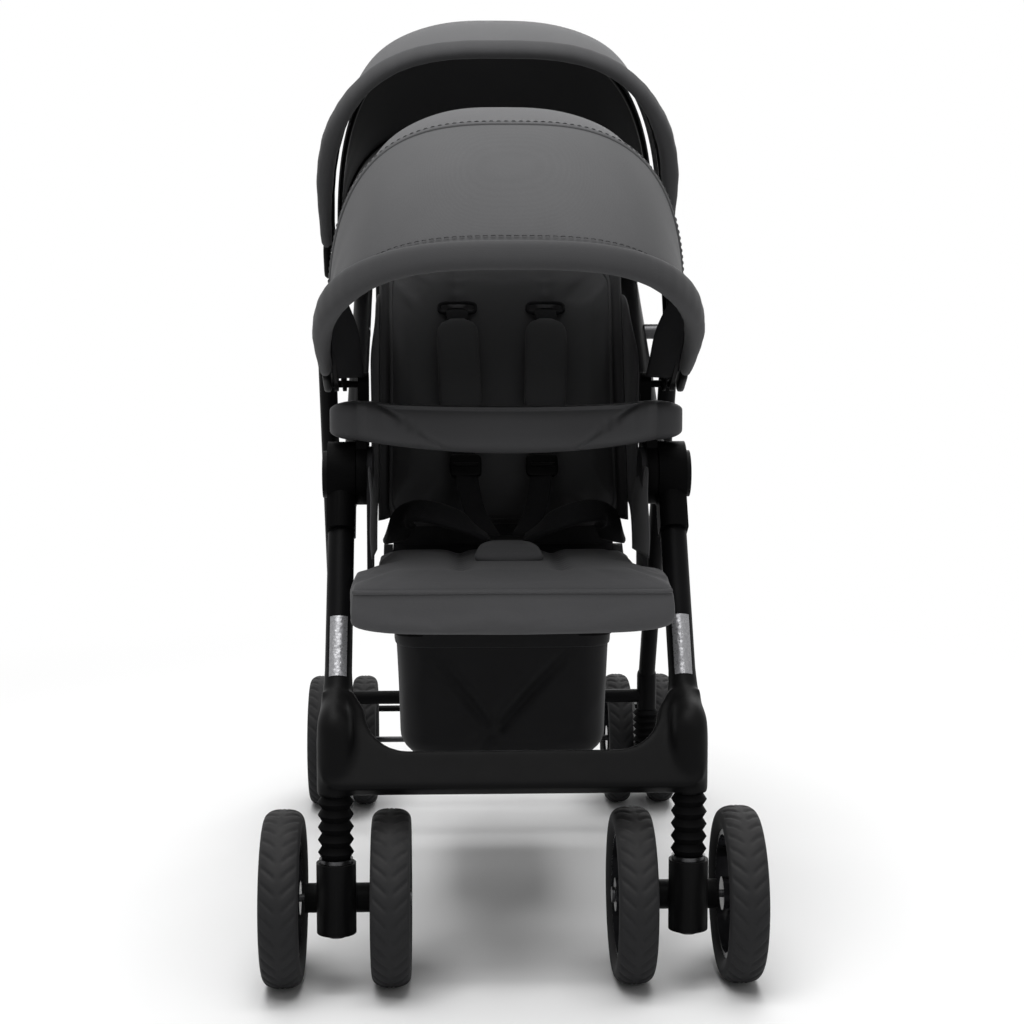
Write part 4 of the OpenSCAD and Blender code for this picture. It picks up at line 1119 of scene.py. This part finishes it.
class STROLLER_OT_harness(bpy.types.Operator):
    """Harness of the front seat: shoulder straps, sleeves, sliders, waist straps and crotch pad"""

    bl_idname = "stroller.harness"
    bl_label = "Harness"

    def execute(self, context):
        left, right = (shoulder_pieces(s) for s, _ in SIDES)
        made = {name: joined([left[name], right[name]]) for name in left}
        made["waist_straps"] = joined([waist_strap(s) for s, _ in SIDES])
        made["crotch_pad"] = crotch_pad()
        pieces = {name: add_mesh(f"front_{name}", *shape) for name, shape in made.items()}
        for name, body, slot, look in (
            ("shoulder_straps", None, "back_fabric", webbing()),
            ("strap_sleeves", "front_back", "back_fabric", back_cloth()),
            ("strap_sliders", "front_back", "black_plastic", black_plastic()),
            ("strap_slots", "front_back", "back_fabric", webbing()),
            ("waist_straps", "frame", "back_fabric", webbing()),
            ("crotch_pad", "frame", "seat_fabric", seat_cloth()),
        ):
            finish_piece(pieces[name], body, slot, look)
        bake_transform(pieces["shoulder_straps"])
        return {"FINISHED"}


BASKET_T, BASKET_TAPER, BASKET_POWER = 0.0025, 0.045, 9
BASKET_ROUND, BASKET_DOWN, BASKET_IN = 240, 30, 10
BASKET_BELLY, BASKET_TUCK, BASKET_WAVE, BASKET_SAG = 0.0008, 0.022, 0.0035, 0.0016
TUCK_FROM, TUCK_RUN = 0.80, 0.20
BASKET_HEM_W, BASKET_HEM_T = 0.018, 0.0042
# Slanted folds in the basket's front: where they start across, how far they lead over, and their depth.
BASKET_FOLDS, FOLD_W = ((0.72, 1.05, 0.0100), (-0.80, -0.95, -0.0085)), 0.07


def basket_grid(inset):
    """Rings of the basket from its rim, down its sides and in under its floor, which sags."""
    low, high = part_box("basket")
    middle = np.array([0.0, (low.y + high.y) / 2, low.z + inset])
    half_x, half_y = (high.x - low.x) / 2 - inset, (high.y - low.y) / 2 - inset
    a = np.linspace(0, 2 * math.pi, BASKET_ROUND, endpoint=False)
    c, s = np.cos(a), np.sin(a)
    reach = (abs(c / half_x) ** BASKET_POWER + abs(s / half_y) ** BASKET_POWER) ** (-1 / BASKET_POWER)
    x, y = reach * c, reach * s
    rings = []
    for t in np.linspace(0, 1, BASKET_DOWN):
        belly = BASKET_BELLY * math.sin(math.pi * min(1, 1.1 * t))
        tuck = BASKET_TUCK * ramp(t, TUCK_FROM, TUCK_RUN) ** 2
        fold = BASKET_WAVE * np.sin(5 * a + 3.4 * t) * abs(s)
        for start, lead, depth in BASKET_FOLDS:
            fold += depth * bell(x / half_x - (start - lead * t), FOLD_W) * (s < 0)
        wide = x * (1 - tuck / half_x - BASKET_TAPER * t) - c * belly
        deep = y * (1 - tuck / half_y) - np.sign(s) * abs(fold * math.sin(math.pi * t))
        z = high.z - (high.z - low.z - inset) * t
        rings.append(np.stack([wide, middle[1] + deep, np.full_like(x, z)], 1))
    foot = rings[-1]
    for t in np.linspace(0.12, 1, BASKET_IN):
        ring = foot + (middle - foot) * t
        ring[:, 2] = middle[2] + BASKET_SAG * math.sin(math.pi * t) * np.sin(3 * a)
        rings.append(ring)
    return np.array(rings)


class STROLLER_OT_basket(bpy.types.Operator):
    """Cloth basket under the seats, with its hem"""

    bl_idname = "stroller.basket"
    bl_label = "Basket"

    def execute(self, context):
        outer, inner = basket_grid(0.0), basket_grid(BASKET_T)
        rows, cols = outer.shape[:2]
        count = rows * cols
        faces = turned(grid_faces(rows, cols, ring=True))
        faces += [tuple(count + i for i in f[::-1]) for f in faces]
        faces += [(c, (c + 1) % cols, count + (c + 1) % cols, count + c) for c in range(cols)]
        bag = add_mesh("basket_bag", np.concatenate([outer, inner]).reshape(-1, 3), faces)
        finish_piece(bag, "frame", "basket_fabric", basket_cloth(), replaces=["basket"])
        low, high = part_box("basket")
        line = np.concatenate([outer[1], outer[1][:2]])
        away = (line - np.array([0, (low.y + high.y) / 2, 0])) * (1, 1, 0)
        section = oval(BASKET_HEM_W, BASKET_HEM_T, 12, 3)
        hem = add_mesh("basket_hem", *sweep(line + UP * 0.001, away, section))
        finish_piece(hem, "frame", "basket_fabric", basket_cloth())
        return {"FINISHED"}


TYRE_ROUND, TYRE_ACROSS, TYRE_SHOULDER, TYRE_FOOT = 272, 45, 0.8, 0.8
TYRE_WALL = 0.45
TREAD_SLANT, TREAD_W = 1.15, 0.15
TREAD_INNER, TREAD_OUTER = 0.16, 0.90
RIB_AT, RIB_W, RIB_DEPTH = 0.14, 0.035, 0.45


def tyre_points(w, d, rim_d):
    """A foamed tyre with a smooth middle rib and slanted grooves on both shoulders, its axle along X."""
    s, half, rim_r = sizes(), w / 2, rim_d / 2
    v = np.linspace(-1, 1, TYRE_ACROSS) * math.pi / 2
    side, top = np.sin(v), np.cos(v)
    x = half * np.sign(side) * abs(side) ** TYRE_SHOULDER
    crown = TYRE_WALL + (1 - TYRE_WALL) * abs(top) ** TYRE_SHOULDER
    a = np.linspace(0, 2 * math.pi, TYRE_ROUND, endpoint=False)[:, None]
    reach = abs(x) / half
    turn = (a / (2 * math.pi) * s.tread_count + TREAD_SLANT * reach) % 1.0
    band = ramp(reach, TREAD_INNER, 0.06) * ramp(TREAD_OUTER - reach, 0, 0.10)
    cut = bell(turn - 0.5, TREAD_W, 4) * band + RIB_DEPTH * bell(reach - RIB_AT, RIB_W)
    r = rim_r + (d / 2 - rim_r) * crown - s.tread_depth * cut
    r = np.pad(r, ((0, 0), (1, 1)), constant_values=rim_r)
    x = np.pad(x, 1, constant_values=(-TYRE_FOOT * half, TYRE_FOOT * half))
    grid = np.stack(np.broadcast_arrays(x, r * np.cos(a), r * np.sin(a)), -1)
    return grid.reshape(-1, 3), loop_faces(*grid.shape[:2])


class STROLLER_OT_tyres(bpy.types.Operator):
    """Eight foamed tyres with herringbone tread"""

    bl_idname = "stroller.tyres"
    bl_label = "Tyres"

    def execute(self, context):
        for end in SEATS:
            for i in range(1, 5):
                covered, wheel = f"{end}_tyre_{i}", f"{end}_wheel_{i}"
                low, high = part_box(covered)
                rim_low, rim_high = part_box(wheel)
                points, faces = tyre_points(high.x - low.x, high.z - low.z, rim_high.z - rim_low.z)
                tyre = add_mesh(f"{end}_tread_{i}", points + np.array((low + high) / 2), faces)
                finish_piece(tyre, wheel, "tyre_foam", tyre_rubber(), replaces=[covered])
        return {"FINISHED"}


TRAY_END_R, TRAY_BAND = 0.030, 0.066
TRAY_STATIONS, TRAY_ROUND, TRAY_POWER = 193, 64, 3.6
CREASE_FOOT, CREASE_RUN = 0.40, 0.48
CREASE_SOFT, GROOVE_W = 0.018, 0.022
HOLLOW_AT = 0.86
DISH_DEPTH, DISH_HALF = 0.004, 0.62


def tray_grid():
    """Sections of the bumper tray from end to end, bowed out in front of its hinge pins."""
    s = sizes()
    low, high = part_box("tray")
    hinge_y = JOINT_AT["tray_swing"][1]
    half, tall, reach = high.x, high.z - low.z, hinge_y - low.y
    span = half - TRAY_END_R
    x = half * np.sin(np.linspace(-1, 1, TRAY_STATIONS) * math.pi / 2)[:, None]
    share = abs(x) / span
    bow = 1 - np.clip(share, 0, 1) ** 2
    front = hinge_y - TRAY_END_R - (reach - TRAY_END_R) * bow
    back = hinge_y + TRAY_END_R - (reach + TRAY_END_R - TRAY_BAND) * bow
    end = np.sqrt(np.clip(1 - ramp(abs(x), span, TRAY_END_R) ** 2, 0.0004, 1))
    sy, sz = oval(2, 2, TRAY_ROUND, TRAY_POWER).T
    rise = (sz + 1) / 2
    past = share - (CREASE_FOOT + CREASE_RUN * rise)
    outside = 1 / (1 + np.exp(-past / CREASE_SOFT))
    face = ramp(-sy, 0.5, 0.3) * ramp(0.93 - share, 0, 0.1)
    hollow = np.minimum((1 - rise) / (1 - HOLLOW_AT), rise / HOLLOW_AT)
    slope = s.tray_scoop * hollow * (1 - outside) + s.tray_lean * rise * outside
    slope += s.tray_groove * bell(past, GROOVE_W)
    dish = DISH_DEPTH * ramp(sz, 0.6, 0.3) * bell(sy, DISH_HALF, 6) * ramp(0.9 - share, 0, 0.2)
    y = (front + back) / 2 + sy * (back - front) / 2 * end + slope * face
    z = (low.z + high.z) / 2 + sz * tall / 2 * (0.5 + 0.5 * end) - dish
    z -= s.tray_droop * bow * (1 - rise) ** 2
    return np.stack(np.broadcast_arrays(x, y, z), -1)


class STROLLER_OT_tray(bpy.types.Operator):
    """Moulded bumper tray with a dished top and two slanted creases in its front"""

    bl_idname = "stroller.tray"
    bl_label = "Tray"

    def execute(self, context):
        faces = turned(tube_faces(TRAY_STATIONS, TRAY_ROUND))
        tray = add_mesh("bumper_tray", tray_grid().reshape(-1, 3), faces)
        smooth_finish(tray)
        finish_piece(tray, "tray", "tray_plastic", tray_plastic(), replaces=["tray"])
        return {"FINISHED"}


WING_FROM, WING_TO = math.radians(3), math.radians(108)
WING_X, WING_BULGE, WING_FOLD, WING_T = 0.1425, 0.0055, 0.0008, 0.0012
WING_BEHIND, WING_ABOVE, WING_INNER = -0.006, 0.010, 0.05
WING_LOW, WING_RISE, WING_DRAWN = 0.215, 0.085, 0.075
TRAY_UNDER, TRAY_BEHIND = 0.100, 0.056
FLAP_INNER, FLAP_W, FLAP_LONG, FLAP_T = 0.1225, 0.0190, 0.300, 0.0016
FLAP_FOOT, FLAP_OFF, FLAP_BEND, FLAP_WAVE, FLAP_SPLAY = 0.045, 0.0075, 0.018, 0.0012, 0.012
COVER_HALF, COVER_FOOT, COVER_LONG, COVER_T = 0.1285, 0.016, 0.336, 0.0012
COVER_OFF, COVER_BULGE, COVER_WAVE, COVER_WRAP = 0.0068, 0.004, 0.0015, 0.008


def seat_wing(s):
    """Cloth side between the front seat and its back, drawn in along its free edge and clear of the tray."""
    pivot = JOINT_AT["front_back_recline"]
    theta = np.linspace(WING_FROM, WING_TO, 81)[:, None]
    t = np.linspace(0, 1, 17)[None, :]
    share = (theta - WING_FROM) / (WING_TO - WING_FROM)
    edge = WING_LOW + WING_RISE * share - WING_DRAWN * np.sin(math.pi * share) ** 1.2
    past_tray = TRAY_BEHIND / np.maximum(np.cos(theta), 0.05)
    edge = np.minimum(edge, np.maximum(TRAY_UNDER / np.sin(theta), past_tray))
    r = WING_INNER + (edge - WING_INNER) * t
    y = pivot[1] + WING_BEHIND - r * np.cos(theta)
    z = pivot[2] + WING_ABOVE + r * np.sin(theta)
    x = WING_X + WING_BULGE * t**2 * np.sin(math.pi * share) + WING_FOLD * np.sin(9 * share * math.pi) * t
    return np.stack([s * x, y, z], -1)


def back_flap(name, s):
    """Cloth that fills the gap between a back pad and the frame on one side."""
    t = np.linspace(0, 1, 9)[None, :]
    v = np.linspace(0, 1, 41)[:, None]
    x = s * (FLAP_INNER + FLAP_W * t)
    y = -FLAP_OFF - FLAP_BEND * t**2 - FLAP_WAVE * np.sin(11 * v) * t
    z = FLAP_FOOT + FLAP_LONG * v - FLAP_SPLAY * t * np.cos(math.pi * v)
    return placed(back_frame(name), np.stack(np.broadcast_arrays(x, y, z), -1))


def back_cover(name):
    """Cloth over the rear of a back board, wrapped round its edges."""
    u = np.linspace(-1, 1, 33)[:, None]
    v = np.linspace(0, 1, 41)[None, :]
    inside = 1 - u**4
    bulge = (COVER_BULGE * np.sin(math.pi * v) + COVER_WAVE * np.sin(7 * v + 2 * u)) * inside
    y = COVER_OFF + bulge - COVER_WRAP * ramp(abs(u), 0.93, 0.07)
    local = np.broadcast_arrays(COVER_HALF * u, y, COVER_FOOT + COVER_LONG * v)
    return placed(back_frame(name), np.stack(local, -1))


class STROLLER_OT_sides(bpy.types.Operator):
    """Cloth sides of the front seat, and the flaps and covers of both backs"""

    bl_idname = "stroller.sides"
    bl_label = "Seat sides and back covers"

    def execute(self, context):
        for s, side in SIDES:
            grid = seat_wing(s)
            wing = add_shell(f"front_seat_side_{side}", grid, WING_T, flip=s > 0)
            finish_piece(wing, None, "seat_fabric", seat_cloth(), seat_cloth())
            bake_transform(wing)
        for name in SEATS:
            for s, side in SIDES:
                flap = add_shell(f"{name}_back_flap_{side}", back_flap(name, s), FLAP_T, flip=s > 0)
                finish_piece(flap, f"{name}_back", "back_fabric", back_cloth(), back_cloth())
            cover = add_shell(f"{name}_back_cover", back_cover(name), COVER_T)
            finish_piece(cover, f"{name}_back", "canopy_fabric", canopy_cloth(), canopy_cloth())
        return {"FINISHED"}


HINGE_KINDS = ("hinge_bracket", "hinge_drum")
# Moulded nodes, with the radius that rounds their edges.
ROUNDED = {
    **{f"{kind}_{side}": 0.0018 for _, side in SIDES for kind in (*HINGE_KINDS, "front_fork")},
    "rear_arms": 0.002,
    "brake_pedal": 0.0016,
    "fold_trigger": 0.0016,
    "front_buckle": 0.0025,
}
BELLOWS = {
    "front_bellows_left": "front_suspension_left",
    "front_bellows_right": "front_suspension_right",
    "rear_bellows": "rear_suspension",
}
BELLOWS_SLACK = 0.0006
SOCKET_UP, SOCKET_D, NECK_UP = 0.0525, 0.038, 0.018
SLEEVE_OVER, SLEEVE_THIN, FLARE_BELOW, NECK_OVER = 0.0022, 0.0018, 0.006, 0.003
CROSS_VOXEL, CROSS_SMOOTH, CROSS_ROUNDS = 0.0022, 0.5, 34


def body_of(name):
    """The body that a node rides on."""
    bodies = frame["record"]["behaviour"]["bodies"]
    return next(body for body, nodes in bodies.items() if name in nodes)


def copy_of(name, kind):
    """A bare copy of a node's mesh, to be dressed in its place."""
    piece = add_object(f"{name}_{kind}", frame["nodes"][name].data.copy())
    piece.data.materials.clear()
    return piece


def moulding(name, r):
    """A copy of a moulded node with its sharp edges rounded, which stands for it."""
    piece = copy_of(name, "moulding")
    weld = piece.modifiers.new("weld", "WELD")
    weld.merge_threshold = 0.00001
    edge = piece.modifiers.new("edges", "BEVEL")
    edge.width, edge.segments = r, 3
    edge.limit_method, edge.angle_limit = "ANGLE", math.radians(50)
    edge.use_clamp_overlap = edge.harden_normals = True
    look = hinge_black() if name.startswith(HINGE_KINDS) else black_plastic()
    finish_piece(piece, body_of(name), "black_plastic", look, replaces=[name])


def add_bellows(name):
    """Rubber skin of a bellows, a little shorter than its node."""
    low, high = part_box(name)
    tall = high.z - low.z
    piece = copy_of(name, "skin")
    points = coords(piece)
    points[:, 2] = low.z + (points[:, 2] - low.z) * (1 - BELLOWS_SLACK / tall)
    set_coords(piece, points)
    finish_piece(piece, body_of(name), "bellows_rubber", bellows_rubber(), replaces=[name])
    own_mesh(piece)


def leg_sleeve(side, top_of):
    """Plug in a leg's seat that thins onto the leg and flows down to the socket, as (points, faces)."""
    leg, flare = coords(frame["nodes"][f"front_leg_{side}"]), sizes().leg_flare
    centre = (leg.min(0) + leg.max(0)) / 2
    along = np.linalg.eigh(np.cov((leg - centre).T))[1][:, 2]
    along *= np.sign(along[2])
    run = (leg - centre) @ along
    r = np.linalg.norm(leg - centre - np.outer(run, along), axis=1).max()
    top = ((top_of - centre) @ along).max()
    t = np.linspace(run.min(), top + flare, 33)
    thin = SLEEVE_THIN * ease(ramp(t, top - FLARE_BELOW, flare + FLARE_BELOW))
    section = oval(1, 1, 40)
    sleeve = sweep(centre + np.outer(t, along), FORWARD, section, 2 * (r + SLEEVE_OVER - thin))
    low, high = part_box(f"front_bellows_{side}")
    socket = np.array([*(low + high).xy / 2, high.z + SOCKET_UP])
    bend, end = socket + UP * NECK_UP, centre + along * top
    neck = smooth_path([socket, bend, (bend + end) / 2, end], 25)
    return joined([sleeve, sweep(neck, FORWARD, section, np.linspace(SOCKET_D, 2 * r + NECK_OVER, 25))])


def cross_member():
    """The front cross member, whose ends flow into its legs and sockets."""
    name = "front_cross_member"
    source = frame["nodes"][name]
    points = coords(source)
    pieces = [(points, [tuple(p.vertices) for p in source.data.polygons])]
    pieces += [leg_sleeve(side, points[points[:, 0] * s > 0]) for s, side in SIDES]
    cross = add_mesh("cross_member_moulding", *joined(pieces))
    remesh(cross, CROSS_VOXEL)
    smooth_faces(cross.data)
    flow = cross.modifiers.new("flow", "SMOOTH")
    flow.factor, flow.iterations = CROSS_SMOOTH, CROSS_ROUNDS
    finish_piece(cross, body_of(name), "black_plastic", black_plastic(), replaces=[name])


class STROLLER_OT_mouldings(bpy.types.Operator):
    """Moulded pieces with rounded edges, bellows, and the cross member that flows into its legs"""

    bl_idname = "stroller.mouldings"
    bl_label = "Mouldings"

    def execute(self, context):
        for name, r in ROUNDED.items():
            moulding(name, r)
        for name, joint in BELLOWS.items():
            add_bellows(name)
        cross_member()
        return {"FINISHED"}


class STROLLER_OT_finishes(bpy.types.Operator):
    """Paint, plastic, rubber and film on the pieces that keep their solid"""

    bl_idname = "stroller.finishes"
    bl_label = "Finishes"

    def execute(self, context):
        looks = {
            "frame_steel": frame_paint(),
            "black_plastic": black_plastic(),
            "rim_plastic": rim_plastic(),
            "tyre_foam": tyre_rubber(),
            "steel": blackened_steel(),
            "bellows_rubber": bellows_rubber(),
            "grip_foam": grip_foam(),
            "reflective": reflective_film(),
            "tray_plastic": tray_plastic(),
            "board_plastic": board_plastic(),
            "canopy_fabric": canopy_cloth(),
            "seat_fabric": seat_cloth(),
            "back_fabric": back_cloth(),
            "basket_fabric": basket_cloth(),
        }
        for name, obj in frame["nodes"].items():
            for place in obj.material_slots:
                slot = place.material.name.split(".")[0]
                if slot not in looks:
                    raise RuntimeError(f"{name} has no finish for {slot}")
                place.material = looks[slot]
        return {"FINISHED"}


FLOOR_HALF, FLOOR_TONE = 9, (0.9, 0.9, 0.9, 1)
WHITE_FROM, WHITE_TO = 0.7, 2.0
SKY_LIGHT = 0.2
# Place, aim, size in metres and power in watts of each lamp.
LAMPS = {
    "key": ((-0.5, -1.7, 3.3), (0, -0.2, 0.5), 2.2, 58),
    "fill": ((1.6, -2.6, 1.3), (0, -0.1, 0.4), 1.8, 6),
    "top": ((0.0, 0.1, 3.3), (0, 0, 0.6), 2.6, 86),
    "back": ((0.8, 2.6, 1.9), (0, 0, 0.6), 1.8, 26),
}
CAMERA_AT = (-0.075, -2.394, 0.675)
CAMERA_TURN = (math.radians(90 - 5.55), 0, math.radians(-2.2))
SENSOR_MM, LENS_MM = 36, 68.7


def lamp(name, place, aim, size, power):
    """A soft square lamp that faces aim."""
    light = bpy.data.lights.new(name, "AREA")
    light.shape, light.size, light.energy = "SQUARE", size, power
    obj = add_object(name, light)
    obj.location = place
    obj.rotation_euler = (Vector(aim) - Vector(place)).to_track_quat("-Z", "Y").to_euler()


def seen_white(tree):
    """1 where the camera, a reflection or glass looks straight at the background."""
    path = tree.nodes.new("ShaderNodeLightPath").outputs
    two = maths(tree, "MAXIMUM", path["Is Camera Ray"], path["Is Glossy Ray"])
    return maths(tree, "MAXIMUM", two, path["Is Transmission Ray"])


def add_floor():
    """Pale floor that keeps the shadow near the stroller and turns white away from it."""
    corners = [(x * FLOOR_HALF, y * FLOOR_HALF, 0) for x, y in ((-1, -1), (1, -1), (1, 1), (-1, 1))]
    floor = add_mesh("floor", corners, [(0, 1, 2, 3)])
    made, tree, bsdf = new_material("pale_floor")
    feed_all(tree, bsdf, {"Base Color": FLOOR_TONE, "Roughness": 0.9, "Specular IOR Level": 0.0})
    far = node(tree, "ShaderNodeVectorMath", object_place(tree), operation="LENGTH").outputs["Value"]
    fade = node(tree, "ShaderNodeMapRange", far, WHITE_FROM, WHITE_TO)
    fade.interpolation_type = "SMOOTHSTEP"
    share = maths(tree, "MULTIPLY", fade.outputs[0], seen_white(tree))
    white = tree.nodes.new("ShaderNodeEmission").outputs[0]
    both = node(tree, "ShaderNodeMixShader", share, bsdf.outputs[0], white)
    feed_all(tree, tree.nodes["Material Output"], {"Surface": both.outputs[0]})
    floor.data.materials.append(made)


class STROLLER_OT_stage(bpy.types.Operator):
    """Pale floor, soft lamps and the camera"""

    bl_idname = "stroller.stage"
    bl_label = "Stage"

    def execute(self, context):
        scene = context.scene
        add_floor()
        scene.world = bpy.data.worlds.new("studio")
        scene.world.use_nodes = True
        tree = scene.world.node_tree
        light = ranged(tree, seen_white(tree), 0.0, 1.0, SKY_LIGHT, 1.0)
        feed_all(tree, tree.nodes["Background"], {"Strength": light, "Color": (1, 1, 1, 1)})
        for name, settings in LAMPS.items():
            lamp(name, *settings)
        lens = bpy.data.cameras.new("camera")
        lens.sensor_width, lens.lens = SENSOR_MM, LENS_MM
        camera = add_object("camera", lens)
        camera.location, camera.rotation_euler = CAMERA_AT, CAMERA_TURN
        scene.camera = camera
        scene.view_settings.view_transform = "Standard"
        return {"FINISHED"}


STEPS = (
    STROLLER_OT_finishes,
    STROLLER_OT_mouldings,
    STROLLER_OT_canopies,
    STROLLER_OT_pads,
    STROLLER_OT_sides,
    STROLLER_OT_harness,
    STROLLER_OT_basket,
    STROLLER_OT_tray,
    STROLLER_OT_tyres,
    STROLLER_OT_stage,
)


class STROLLER_PT_panel(bpy.types.Panel):
    """Steps and values of the stroller"""

    bl_label = "Tandem stroller"
    bl_idname = "STROLLER_PT_panel"
    bl_space_type = "VIEW_3D"
    bl_region_type = "UI"
    bl_category = "Stroller"

    def draw(self, context):
        for step in STEPS:
            self.layout.operator(step.bl_idname)
        for group in (context.scene.stroller_sizes, context.scene.stroller_colours):
            box = self.layout.box()
            for key in group.__annotations__:
                box.prop(group, key)


CLASSES = (StrollerSizes, StrollerColours, *STEPS, STROLLER_PT_panel)


def register():
    for cls in CLASSES:
        bpy.utils.register_class(cls)
    bpy.types.Scene.stroller_sizes = PointerProperty(type=StrollerSizes)
    bpy.types.Scene.stroller_colours = PointerProperty(type=StrollerColours)


def unregister():
    del bpy.types.Scene.stroller_colours
    del bpy.types.Scene.stroller_sizes
    for cls in reversed(CLASSES):
        bpy.utils.unregister_class(cls)


def main():
    register()
    for step in STEPS:
        getattr(bpy.ops.stroller, step.bl_idname.split(".")[1])()


if __name__ == "__main__":
    main()
